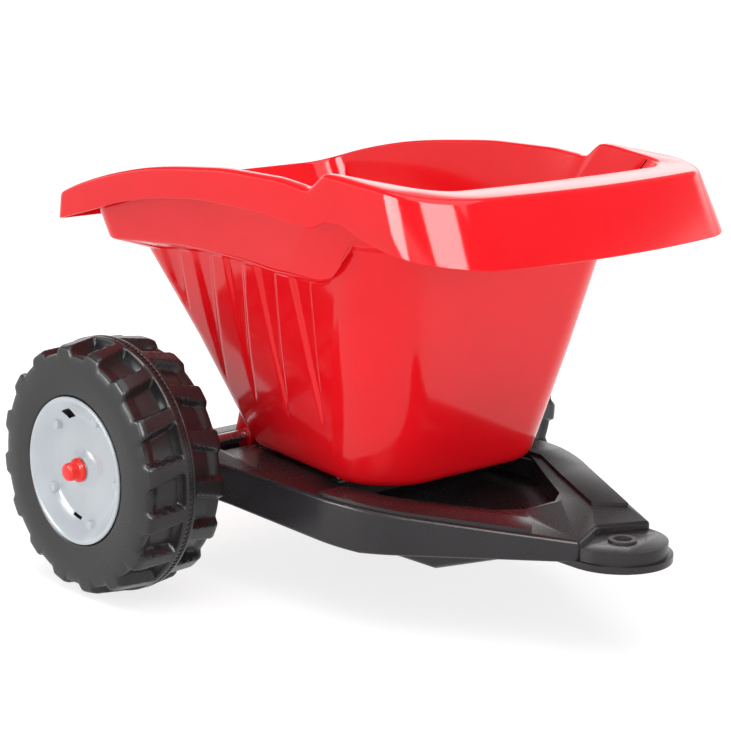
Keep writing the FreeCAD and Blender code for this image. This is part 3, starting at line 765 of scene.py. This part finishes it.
    def hinge_lugs(self) -> bpy.types.Object:
        """The two gussets under the back of the tub that turn on the axle."""
        drawing = Drawing("tub_hinge_lugs")
        z = self.axle_height
        for side in Side:
            y = side.value * self.lug_span
            turn = np.radians(np.linspace(165, 365, 22))
            eye = [(self.lug_radius * math.cos(a), z + self.lug_radius * math.sin(a)) for a in turn]
            outline = eye + [(31, z + 3), (31, z + 8), (4, z + 61)]
            drawing.prism(outline, y - self.lug_thick / 2, y + self.lug_thick / 2, "Y")
        piece = drawing.object()
        hole = Drawing("bore")
        ring = [(self.bore * math.cos(a), z + self.bore * math.sin(a))
                for a in np.linspace(0, 2 * math.pi, 48, endpoint=False)]
        hole.prism(ring, -100, 100, "Y")
        combine(piece, hole.object(), "DIFFERENCE")
        rounded(piece, 1.2, 3, 40)
        smooth(piece)
        return piece

    def build(self, finishes: Finishes) -> None:
        """Makes the tub's pieces."""
        finish_piece(self.shell(), "tub", Slot.RED, finishes, ["tub"])
        finish_piece(self.hinge_lugs(), "tub", Slot.RED, finishes)


# ---------------------------------------------------------------- wheels

def softened(profile: Sequence[tuple[float, float, float]], steps: int = 5) -> list[tuple[float, float]]:
    """Rounds a closed profile.

    Args:
        profile: (radius, along, rounding) for each corner.
        steps: points in each rounding.

    Returns:
        (radius, along) points.
    """
    out: list[tuple[float, float]] = []
    count = len(profile)
    for k in range(count):
        here = np.array(profile[k][:2], float)
        if profile[k][2] == 0:
            out.append((float(here[0]), float(here[1])))
            continue
        back = np.array(profile[k - 1][:2], float) - here
        ahead = np.array(profile[(k + 1) % count][:2], float) - here
        start = here + back / np.linalg.norm(back) * min(profile[k][2], 0.48 * np.linalg.norm(back))
        end = here + ahead / np.linalg.norm(ahead) * min(profile[k][2], 0.48 * np.linalg.norm(ahead))
        for t in np.linspace(0, 1, steps):
            spot = (1 - t)**2 * start + 2 * t * (1 - t) * here + t**2 * end
            out.append((float(spot[0]), float(spot[1])))
    return out


class RingOfCopies:
    """A Geometry Nodes tree that sets copies of an object in a ring about the wheel's axis."""

    def __init__(self, name: str) -> None:
        """Builds the tree with its named inputs."""
        self.tree = bpy.data.node_groups.new(name, "GeometryNodeTree")
        face = self.tree.interface
        face.new_socket("Geometry", in_out="INPUT", socket_type="NodeSocketGeometry")
        self.sockets = {}
        for label, kind in (("Copy", "Object"), ("Count", "Int"), ("Phase", "Float"), ("Centre", "Vector"),
                            ("Finish", "Material")):
            socket = face.new_socket(label, in_out="INPUT", socket_type="NodeSocket" + kind)
            self.sockets[label] = socket.identifier
        face.new_socket("Geometry", in_out="OUTPUT", socket_type="NodeSocketGeometry")
        new = self.tree.nodes.new
        entry, leave = new("NodeGroupInput"), new("NodeGroupOutput")
        points, source = new("GeometryNodePoints"), new("GeometryNodeObjectInfo")
        index, share, turn = new("GeometryNodeInputIndex"), new("ShaderNodeMath"), new("ShaderNodeMath")
        share.operation = "DIVIDE"
        turn.operation = "MULTIPLY_ADD"
        turn.inputs[1].default_value = -2 * math.pi
        spin, copies = new("ShaderNodeCombineXYZ"), new("GeometryNodeInstanceOnPoints")
        join, real = new("GeometryNodeJoinGeometry"), new("GeometryNodeRealizeInstances")
        finish = new("GeometryNodeSetMaterial")
        for start, output, end, socket in (
                (entry, "Count", points, "Count"), (entry, "Centre", points, "Position"),
                (entry, "Copy", source, "Object"), (index, 0, share, 0), (entry, "Count", share, 1),
                (share, 0, turn, 0), (entry, "Phase", turn, 2), (turn, 0, spin, 1),
                (points, 0, copies, "Points"), (source, "Geometry", copies, "Instance"),
                (spin, 0, copies, "Rotation"), (copies, 0, join, 0), (entry, "Geometry", join, 0),
                (join, 0, real, 0), (real, 0, finish, "Geometry"), (entry, "Finish", finish, "Material"),
                (finish, 0, leave, 0)):
            self.tree.links.new(start.outputs[output], end.inputs[socket])

    def add(self, piece: bpy.types.Object, copy: bpy.types.Object, count: int, phase: float,
            centre: tuple[float, float, float], finish: bpy.types.Material) -> None:
        """Sets copies round a piece and makes them part of its mesh.

        Args:
            piece: the piece that gains the copies.
            copy: one copy, drawn about the origin in metres, which is used up.
            count: copies in the ring.
            phase: turn of the first copy, in radians.
            centre: middle of the ring, in metres.
            finish: material of the result.
        """
        change = piece.modifiers.new("ring", "NODES")
        change.node_group = self.tree
        for label, value in (("Copy", copy), ("Count", count), ("Phase", phase), ("Centre", centre),
                             ("Finish", finish)):
            change[self.sockets[label]] = value
        baked(piece)
        data = copy.data
        bpy.data.objects.remove(copy)
        bpy.data.meshes.remove(data)


@dataclass
class Wheel:
    """One wheel: lugged tyre, two dished rim halves and the hub cap on its outer side."""

    side: Side
    radius: float = 120.0
    track: float = 224.0
    half_width: float = 44.0
    tread: float = 110.5
    rim: float = 69.4
    barrel: float = 62.0
    dish: float = 47.0
    dish_depth: float = 15.0
    rim_wall: float = 2.5
    hub: float = 14.0
    bush: float = 9.05
    hub_nose: float = 6.4
    boss_circle: float = 53.0
    boss_radius: float = 5.0
    boss_count: int = 5
    boss_phase: float = 138.0
    vents: tuple[tuple[float, float, float, float], ...] = (
        (112.0, 49.0, 57.5, 6.5), (256.0, 48.0, 51.0, 7.0))
    lug_count: int = 16
    band_half: float = 5.5
    groove_depth: float = 9.5
    tyre_steps: int = 480
    tooth_count: int = 150

    def centre(self) -> tuple[float, float, float]:
        """Middle of the wheel in mm from the axle's station."""
        return 0.0, self.side.value * self.track, self.radius

    def _groove(self, angle: np.ndarray, radius: np.ndarray, y: np.ndarray) -> np.ndarray:
        """Depth of the grooves between the bars, at points of the tyre's outer skin.

        Args:
            angle: angle round the wheel, in radians.
            radius: radius of the bars' tops there.
            y: distance from the wheel's middle plane, outwards positive.

        Returns:
            Depth in mm.
        """
        out = np.abs(y)
        share = np.clip((out - self.band_half) / (self.half_width - self.band_half), 0, 1)
        pitch = 2 * math.pi / self.lug_count
        turn = angle / pitch + 0.17 * share - 0.5 * (y > 0)
        off = np.abs(turn - np.floor(turn) - 0.5)
        soft = 0.07 + 0.07 * share**2
        rise = np.clip((0.17 + 0.06 * share - off) / soft + 0.5, 0, 1)
        bar = rise**2 * (3 - 2 * rise)
        start = np.clip((out - self.band_half) / 1.6, 0, 1)
        shoulder = 1 - 0.45 * np.clip((out - 30) / 12, 0, 1)
        side = np.clip((radius - 97) / 17, 0, 1)**1.5
        return self.groove_depth * start * shoulder * side * (1 - bar)

    def _tooth(self) -> bpy.types.Object:
        """One fine notch across the seam of the centre band."""
        drawing = Drawing("tooth")
        low, high = self.radius - 1.2, self.radius - 0.15
        drawing.prism([(low, -0.8), (high, -0.5), (high, 0.5), (low, 0.8)], -2.6, 2.6, "Y")
        bmesh.ops.translate(drawing.mesh, verts=drawing.mesh.verts, vec=(-SHIFT, 0, 0))
        return drawing.object()

    def tyre(self, ring: RingOfCopies, finish: bpy.types.Material) -> bpy.types.Object:
        """The tyre with its bars and centre band."""
        half = self.half_width
        side = (self.rim + self.tread) / 2
        top = self.radius
        tread = [(top - 5.5, half - 2.6, 4), (top - 3.6, half - 8, 6)]
        tread += [(top - 3.4 + 2.8 * t, half - 10 - (half - 10 - self.band_half - 1) * t, 0)
                  for t in np.linspace(0, 1, 14)]
        outer = [(self.barrel, half - 16, 0), (self.barrel, half - 5, 0.5), (self.rim, half - 3, 1),
                 (self.rim + 2.2, half - 1.2, 1.6), (side, half, 30)]
        outer += [(r, half - 0.2 - 0.004 * (r - side)**2, 0) for r in np.linspace(side + 8, top - 9, 7)]
        outer += tread + [(top - 0.4, self.band_half, 1.2), (top, self.band_half - 1.6, 0.8), (top, 2.4, 0.3),
                          (top - 1.0, 2.0, 0)]
        inner = [(self.barrel + 6, half - 13, 1), (side, half - 8, 6), (self.tread - 12, half - 9, 5),
                 (self.tread - 7, half - 14, 4)]
        profile = outer + [(r, -y, s) for r, y, s in reversed(outer)]
        profile += [(r, -y, s) for r, y, s in inner] + [(r, y, s) for r, y, s in reversed(inner)]
        section = np.array(softened(profile, 4))
        turn = np.linspace(0, 2 * math.pi, self.tyre_steps, endpoint=False)[:, None]
        radius = np.broadcast_to(section[:, 0], (self.tyre_steps, len(section)))
        across = np.broadcast_to(section[:, 1], radius.shape)
        hollow = (radius < self.tread - 4) & (np.abs(across) < half - 7)
        hollow = hollow | (radius < self.tread - 5) & (np.abs(across) < half - 5)
        skin = (radius > side) & ~hollow
        radius = radius - np.where(skin, self._groove(turn, radius, across), 0)
        x, y, z = self.centre()
        rings = np.stack([x + radius * np.cos(turn), y + across, z + radius * np.sin(turn)], -1)
        drawing = Drawing(f"tyre_{self.side.word}_tread")
        drawing.grid(np.concatenate([rings, rings[:1]]))
        bmesh.ops.remove_doubles(drawing.mesh, verts=drawing.mesh.verts, dist=1e-4)
        piece = drawing.object()
        middle = (SHIFT * MM, self.side.value * self.track * MM, self.radius * MM)
        ring.add(piece, self._tooth(), self.tooth_count, 0.0, middle, finish)
        smooth(piece, 50)
        return piece

    def rim_half(self, outer: bool) -> bpy.types.Object:
        """One dished half of the rim with its screw bosses."""
        way = self.side.value * (1 if outer else -1)
        half = self.half_width
        floor = half - self.dish_depth
        wall, nose = self.rim_wall, floor + self.hub_nose
        back = [(self.bush, 0, 0), (self.hub, 0, 0), (self.hub, floor - wall, 0),
                (self.dish - 1.5, floor - wall, 2), (self.barrel - wall, half - 6.2, 1),
                (self.barrel - wall, 0, 0), (self.barrel, 0, 0), (self.barrel, half - 5, 0.8)]
        lip = [(self.rim - 0.6, half - 3, 1.2), (self.rim, half - 0.4, 1.6),
               (self.rim - 2.4, half + 0.6, 1.8), (self.rim - 5.0, half - 0.9, 2.2)]
        face = [(self.dish + 8, floor + 4.8, 12), (self.dish, floor, 5), (self.dish - 16, floor + 1.6, 12),
                (self.hub + 5, floor + 1.2, 3), (self.hub, nose - 1.5, 2), (self.hub - 1.6, nose, 0.6),
                (self.bush, nose, 0.4)]
        profile = back + lip + face
        drawing = Drawing(f"rim_{'outer' if outer else 'inner'}_{self.side.word}_dish")
        x, y, z = self.centre()
        drawing.turned([(r, way * a) for r, a in softened(profile, 5)], (x, y, z), 128)
        piece = drawing.object()
        for turn, low, high, wide in self.vents:
            arc = np.radians(np.linspace(turn - wide, turn + wide, 9))
            outline = [(x + high * math.cos(a), z + high * math.sin(a)) for a in arc]
            outline += [(x + low * math.cos(a), z + low * math.sin(a)) for a in reversed(arc)]
            slot = Drawing("slot")
            slot.prism(outline, *sorted((y + way * (floor - 8), y + way * (half + 5))), "Y")
            combine(piece, slot.object(), "DIFFERENCE")
        for k in range(self.boss_count):
            angle = math.radians(self.boss_phase) + 2 * math.pi * k / self.boss_count
            spot = (x + self.boss_circle * math.cos(angle), y, z + self.boss_circle * math.sin(angle))
            post = [(0.01, way * (floor - 1.5)), (self.boss_radius, way * (floor - 1.5)),
                    (self.boss_radius, way * (half - 9.4)), (self.boss_radius - 0.5, way * (half - 8.4)),
                    (self.boss_radius - 1.6, way * (half - 8)), (0.01, way * (half - 8))]
            boss = Drawing("boss")
            boss.turned(post, spot, 28)
            combine(piece, boss.object(), "UNION")
        smooth(piece, 40)
        return piece

    def cap(self) -> bpy.types.Object:
        """The pressed-on hub cap."""
        node = f"hub_cap_{self.side.word}"
        low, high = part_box(node)
        way = self.side.value
        base = (low[1] if way > 0 else high[1]) / MM
        length = (high[1] - low[1]) / MM
        profile = [(0.01, 0, 0), (11.4, 0, 0), (11.4, 2.6, 1.4), (9.6, 4.2, 1.4), (8.7, 6.0, 1.5),
                   (8.5, length - 1.2, 4.5), (4.2, length, 3), (0.01, length, 0)]
        drawing = Drawing(node + "_moulding")
        drawing.turned([(r, way * a) for r, a in softened(profile, 6)], (0, base, self.radius), 64)
        piece = drawing.object()
        smooth(piece, 50)
        return piece

    def build(self, finishes: Finishes, ring: RingOfCopies) -> None:
        """Makes the wheel's pieces."""
        body = f"wheel_{self.side.word}"
        finish_piece(self.tyre(ring, finishes.by_slot[Slot.TYRE]), body, Slot.TYRE, finishes,
                     [f"tyre_{self.side.word}"])
        for outer in (True, False):
            node = f"rim_{'outer' if outer else 'inner'}_{self.side.word}"
            finish_piece(self.rim_half(outer), body, Slot.RIM, finishes, [node])
        finish_piece(self.cap(), "chassis", Slot.CAP, finishes, [f"hub_cap_{self.side.word}"])


# ---------------------------------------------------------------- chassis

@dataclass
class Chassis:
    """The black chassis moulding: deck, drawbar, hitch plate, cradles and keel."""

    half: float = 148.0
    rear: float = -45.0
    deck: float = 119.0
    front: float = 424.0
    front_half: float = 47.0
    notch: float = 20.0
    shoulder: float = 45.0
    drop: float = 12.0
    root: float = 245.0
    wall: float = 4.0
    skirt: float = 37.0
    hitch: float = 425.0
    hitch_radius: float = 45.0
    flange: float = 4.5
    hitch_top: float = 101.0
    hitch_base: float = 84.0
    hole: float = 432.0
    hole_radius: float = 10.5
    axle: float = 120.0
    axle_radius: float = 6.0
    pocket_depth: float = 24.0
    rib_stations: tuple[float, float] = (60.0, 130.0)
    rib_thick: float = 3.0
    rib_depth: float = 22.0
    keel_rib_ends: tuple[float, float] = (192.0, 368.0)
    keel_rib_half_span: float = 48.0
    cradle_reach: float = 22.0
    cradle_inner: float = 116.0
    trough_depth: float = 19.0
    rail_ends: tuple[float, float] = (55.0, 155.0)
    rail_half_span: float = 70.0
    rail_width: float = 8.0
    rail_top: float = 121.7
    pad_lift: float = 3.0
    pad_margin: float = 4.0
    pad_end: float = 62.0
    pad_inner: float = 42.0
    deck_edge: float = 3.4
    edge: float = 1.8

    def _mirrored(self, points: Sequence[tuple[float, float]]) -> list[tuple[float, float]]:
        """A plan outline from its left half."""
        return list(points) + [(x, -y) for x, y in reversed(points)]

    def _side_outline(self, shrink: float, base: float | None = None) -> list[tuple[float, float]]:
        """Side outline of the moulding; base flattens its lower edge."""
        top = self.deck - shrink
        rear, front = self.rear + shrink, self.front - shrink
        upper = [(rear, top), (150, top), (self.root - 10, top - 2), (self.root + 43, top - 6),
                 (front, top - self.drop)]
        if base is not None:
            return upper + [(front, base), (rear, base)]
        edge = self.deck - self.skirt
        return upper + [(front, self.hitch_base + 4), (self.root + 3, edge - 8), (79, edge), (rear, edge + 2)]

    def _plan(self, shrink: float) -> list[tuple[float, float]]:
        """Plan outline, the drawbar's shoulders rounded."""
        half = self.half - shrink
        corner = np.array([self.root - shrink * 0.3, half])
        nose = np.array([self.front - shrink, self.front_half - shrink])
        start = corner - np.array([self.shoulder, 0])
        end = corner + (nose - corner) * self.shoulder / math.dist(nose, corner)
        arc = [tuple((1 - t)**2 * start + 2 * t * (1 - t) * corner + t**2 * end)
               for t in np.linspace(0, 1, 12)]
        left = [(self.rear + shrink, half)] + [(float(x), float(y)) for x, y in arc]
        left.append((float(nose[0]), float(nose[1])))
        return left + [(float(nose[0]) - self.notch, 0.0)] + [(x, -y) for x, y in reversed(left)]

    def _block(self, outline: Sequence[tuple[float, float]], low: float, high: float,
               axis: str = "Z") -> bpy.types.Object:
        """A closed prism as an object."""
        drawing = Drawing("block")
        drawing.prism(outline, low, high, axis)
        return drawing.object()

    def _box(self, x0: float, x1: float, y0: float, y1: float, z0: float, z1: float) -> bpy.types.Object:
        """A plain box as an object."""
        return self._block([(x0, y0), (x1, y0), (x1, y1), (x0, y1)], z0, z1)

    def _round(self, radius: float, x: float, y: float, low: float, high: float,
               axis: str = "Z", steps: int = 64) -> bpy.types.Object:
        """A cylinder as an object."""
        ring = [(x + radius * math.cos(a), y + radius * math.sin(a))
                for a in np.linspace(0, 2 * math.pi, steps, endpoint=False)]
        return self._block(ring, low, high, axis)

    def _hitch_layer(self, grow: float, low: float, high: float) -> bpy.types.Object:
        """One layer of the hitch plate."""
        radius = self.hitch_radius + grow
        turn = np.radians(np.linspace(81, -81, 40))
        nose = [(self.hitch + radius * math.cos(a), radius * math.sin(a)) for a in turn]
        neck = [(self.hitch - 40, self.front_half), (self.hitch, self.front_half - 2 + grow)]
        return self._block(neck + nose + [(x, -y) for x, y in reversed(neck)], low, high)

    def _hollowed(self) -> bpy.types.Object:
        """The inverted tray."""
        tall = 300
        tray = self._block(self._side_outline(0), -tall, tall, "Y")
        combine(tray, self._block(self._plan(0), 0, tall), "INTERSECT")
        rounded(tray, self.deck_edge, 5, 40)
        hollow = self._block(self._side_outline(self.wall, 20), -tall, tall, "Y")
        combine(hollow, self._block(self._plan(self.wall), 0, tall), "INTERSECT")
        combine(tray, hollow, "DIFFERENCE")
        return tray

    def _pocket(self, grow: float, low: float, high: float) -> bpy.types.Object:
        """The recess in the middle of the drawbar."""
        root = self.root
        outline = [(root - 75 - grow, 104 + grow), (root - 17, 104 + grow), (root + 76 + grow, 42 + grow),
                   (root + 90 + grow, 20 + grow)]
        return self._block(self._mirrored(outline), low, high)

    def moulding(self) -> bpy.types.Object:
        """The whole chassis moulding."""
        frame_piece = self._hollowed()
        frame_piece.name = "chassis_moulding"
        wall, deck = self.wall, self.deck
        join = [self._pocket(wall, deck - self.pocket_depth - wall, deck - 8)]
        for x in self.rib_stations:
            join.append(self._box(x, x + self.rib_thick, 1 - self.half, self.half - 1,
                                  deck - self.rib_depth, deck - 1))
        trough, reach, inner = deck - self.trough_depth, self.cradle_reach, self.cradle_inner
        rear, front = self.keel_rib_ends
        for side in Side:
            y = side.value * self.keel_rib_half_span
            join.append(self._box(rear, front, y - 3, y + 3, self.hitch_base, trough))
        join.append(self._box(-reach - wall, reach + 3 * wall, -inner, inner, trough - wall, deck - 1))
        for side in Side:
            low, high = sorted((side.value * inner, side.value * (self.half - 0.01)))
            join.append(self._box(-reach, reach, low, high, trough - wall, self.axle))
        for tool in join:
            combine(frame_piece, tool, "UNION")
        hollow = self._box(-reach, reach + 2 * wall, wall - inner, inner - wall, trough, 200)
        combine(frame_piece, hollow, "DIFFERENCE")
        combine(frame_piece, self._pocket(0, deck - self.pocket_depth, 200), "DIFFERENCE")
        rear, front = self.rail_ends
        for side in Side:
            y, thick = side.value * self.rail_half_span, self.rail_width / 2
            rail = self._box(rear, front, y - thick, y + thick, deck - 1, self.rail_top)
            combine(frame_piece, rail, "UNION")
            combine(frame_piece, self._pad(side), "UNION")
        base = self.hitch_base
        combine(frame_piece, self._hitch_layer(0, base, self.hitch_top), "UNION")
        combine(frame_piece, self._hitch_layer(self.flange, base + 0.01, base + 6), "UNION")
        combine(frame_piece, self._round(self.hole_radius, self.hole, 0, 50, 150), "DIFFERENCE")
        combine(frame_piece, self._round(self.axle_radius, 0, self.axle, -200, 200, "Y"), "DIFFERENCE")
        rounded(frame_piece, self.edge, 3, 30)
        smooth(frame_piece, 36)
        return frame_piece

    def _pad(self, side: Side) -> bpy.types.Object:
        """A raised pad along one edge of the drawbar."""
        way = side.value
        margin, end = self.pad_margin, self.front - self.pad_end
        inner, root = self.half - self.pad_inner, self.root
        left = self._plan(margin)[1:13]
        edge = left[-1]
        reach = (end + 22 - edge[0]) / (self.front - margin - edge[0])
        left.append((end + 22, edge[1] + (self.front_half - margin - edge[1]) * reach))
        left += [(end, self.front_half - 8), (root - 5, inner), (root - 45, inner)]
        plan = [(x, way * y) for x, y in left]
        raised = [(x, z + self.pad_lift) for x, z in self._side_outline(0)[:5]]
        sunk = [(x, z - 1) for x, z in reversed(self._side_outline(0)[:5])]
        pad = self._block(plan, 60, 200)
        combine(pad, self._block(raised + sunk, -300, 300, "Y"), "INTERSECT")
        return pad

    def keel(self) -> bpy.types.Object:
        """The hollow keel that the drawbar stands on."""
        rear, front, low, seat, half, wall = 192.0, 372.0, 44.0, 84.0, 56.0, 4.0
        outside = [(rear, seat), (rear + 8, low), (rear + 66, low), (front, seat)]
        shell = self._block(outside, -half, half, "Y")
        rounded(shell, 5.0, 5, 25)
        inside = [(rear + wall, seat + 1), (rear + 8 + wall, low + wall), (rear + 64, low + wall),
                  (front - 3 * wall, seat + 1)]
        combine(shell, self._block(inside, wall - half, half - wall, "Y"), "DIFFERENCE")
        top = self._box(rear - 20, front + 20, -half - 20, half + 20, seat, seat + 40)
        combine(shell, top, "DIFFERENCE")
        shell.name = "drawbar_keel"
        smooth(shell, 36)
        return shell

    def build(self, finishes: Finishes) -> None:
        """Makes the chassis pieces."""
        finish_piece(self.moulding(), "chassis", Slot.BLACK, finishes, ["chassis_frame"])
        finish_piece(self.keel(), "chassis", Slot.BLACK, finishes, ["drawbar_foot"])


def dress_nodes(finishes: Finishes) -> None:
    """Gives every CAD node that still shows its material."""
    for entry in frame["record"]["subparts"]:
        node = frame["nodes"][entry["node"]]
        node.data.materials.clear()
        node.data.materials.append(finishes.by_slot[Slot(entry["material_slot"])])
        LOG.info("%s keeps its own shape in %s", entry["node"], entry["material_slot"])


# ---------------------------------------------------------------- studio

@dataclass(frozen=True)
class Camera:
    """A view of the trailer, in mm from the axle's station and degrees."""

    position: tuple[float, float, float] = (1598.2, -1408.3, 660.1)
    yaw: float = 136.66
    pitch: float = 12.66
    roll: float = 0.77
    lens: float = 108.06

    def build(self) -> None:
        """Makes the camera and makes it the scene's."""
        yaw, pitch, roll = (math.radians(value) for value in (self.yaw, self.pitch, self.roll))
        look = Vector((math.cos(yaw) * math.cos(pitch), math.sin(yaw) * math.cos(pitch), -math.sin(pitch)))
        right = look.cross(Vector((0, 0, 1))).normalized()
        up = right.cross(look)
        across = math.cos(roll) * right + math.sin(roll) * up
        upward = -math.sin(roll) * right + math.cos(roll) * up
        data = bpy.data.cameras.new("camera")
        data.lens = self.lens
        data.sensor_width = 36
        data.clip_end = 50
        camera = bpy.data.objects.new("camera", data)
        turn = Matrix((across, upward, -look)).transposed()
        place = Vector(((self.position[0] + SHIFT) * MM, self.position[1] * MM, self.position[2] * MM))
        camera.matrix_world = Matrix.Translation(place) @ turn.to_4x4()
        bpy.context.scene.collection.objects.link(camera)
        bpy.context.scene.camera = camera


@dataclass(frozen=True)
class Lamp:
    """A soft box, in metres in the frame's axes, turned to face a target.

    One that isn't diffuse is seen only as a reflection in glossy skins.
    """

    name: str
    place: tuple[float, float, float]
    target: tuple[float, float, float]
    size: tuple[float, float]
    power: float
    diffuse: bool = True

    def build(self) -> None:
        """Makes the light."""
        data = bpy.data.lights.new(self.name, "AREA")
        data.shape = "RECTANGLE"
        data.size, data.size_y = self.size
        data.energy = self.power
        lamp = bpy.data.objects.new(self.name, data)
        lamp.location = self.place
        lamp.visible_diffuse = self.diffuse
        lamp.rotation_euler = (Vector(self.target) - Vector(self.place)).to_track_quat("-Z", "Y").to_euler()
        bpy.context.scene.collection.objects.link(lamp)


class Studio:
    """Plain pale floor, white surroundings and soft light."""

    lamps = (
        Lamp("overhead", (0.4, -0.4, 3.2), (0.0, 0.0, 0.2), (3.6, 3.6), 110.0),
        Lamp("panel_side", (-1.15, -2.7, 1.0), (0.05, -0.19, 0.38), (1.3, 1.3), 90.0, diffuse=False),
        Lamp("panel_corner", (1.7, -1.95, 2.05), (0.05, -0.17, 0.38), (2.0, 1.5), 150.0, diffuse=False),
    )

    def build(self) -> None:
        """Makes the floor, the surroundings and the lights."""
        world = bpy.data.worlds.new("studio")
        world.use_nodes = True
        tree = Tree(world.node_tree)
        place = tree.out("ShaderNodeTexCoord", "Generated")
        height = tree.out("ShaderNodeSeparateXYZ", 2, None, Vector=place)
        band = height.over(0.13, 0.18) * (1 - height.over(0.26, 0.33)) * 1.1
        glow = band - height.over(0.2, 0.42) * 0.76 + 1.12
        shade = tree.out("ShaderNodeBackground", 0, None, Color=(1.0, 1.0, 1.0, 1.0), Strength=glow)
        tree.node("ShaderNodeOutputWorld", None, Surface=shade)
        bpy.context.scene.world = world
        bpy.context.scene.view_settings.view_transform = "Standard"
        for lamp in self.lamps:
            lamp.build()
        self._floor()

    def _floor(self) -> None:
        """A wide pale floor."""
        sheet = bmesh.new()
        bmesh.ops.create_circle(sheet, cap_ends=True, segments=128, radius=2.6)
        data = bpy.data.meshes.new("floor")
        sheet.to_mesh(data)
        sheet.free()
        floor = bpy.data.objects.new("floor", data)
        material = bpy.data.materials.new("floor_white")
        material.use_nodes = True
        tree = Tree(material.node_tree)
        shader = tree.out("ShaderNodeBsdfPrincipled", 0, None, Base_Color=(0.35, 0.35, 0.35, 1.0),
                          Roughness=0.9, Emission_Color=(1.0, 1.0, 1.0, 1.0), Emission_Strength=0.76)
        tree.node("ShaderNodeOutputMaterial", None, Surface=shader)
        data.materials.append(material)
        bpy.context.scene.collection.objects.link(floor)


def main() -> None:
    """Builds the trailer's looks and the studio."""
    logging.basicConfig(level=logging.INFO, format="%(message)s")
    Camera().build()
    Studio().build()
    finishes = Finishes()
    dress_nodes(finishes)
    Tub().build(finishes)
    Chassis().build(finishes)
    ring = RingOfCopies("ring_of_copies")
    for side in Side:
        Wheel(side).build(finishes, ring)


if __name__ == "__main__":
    main()
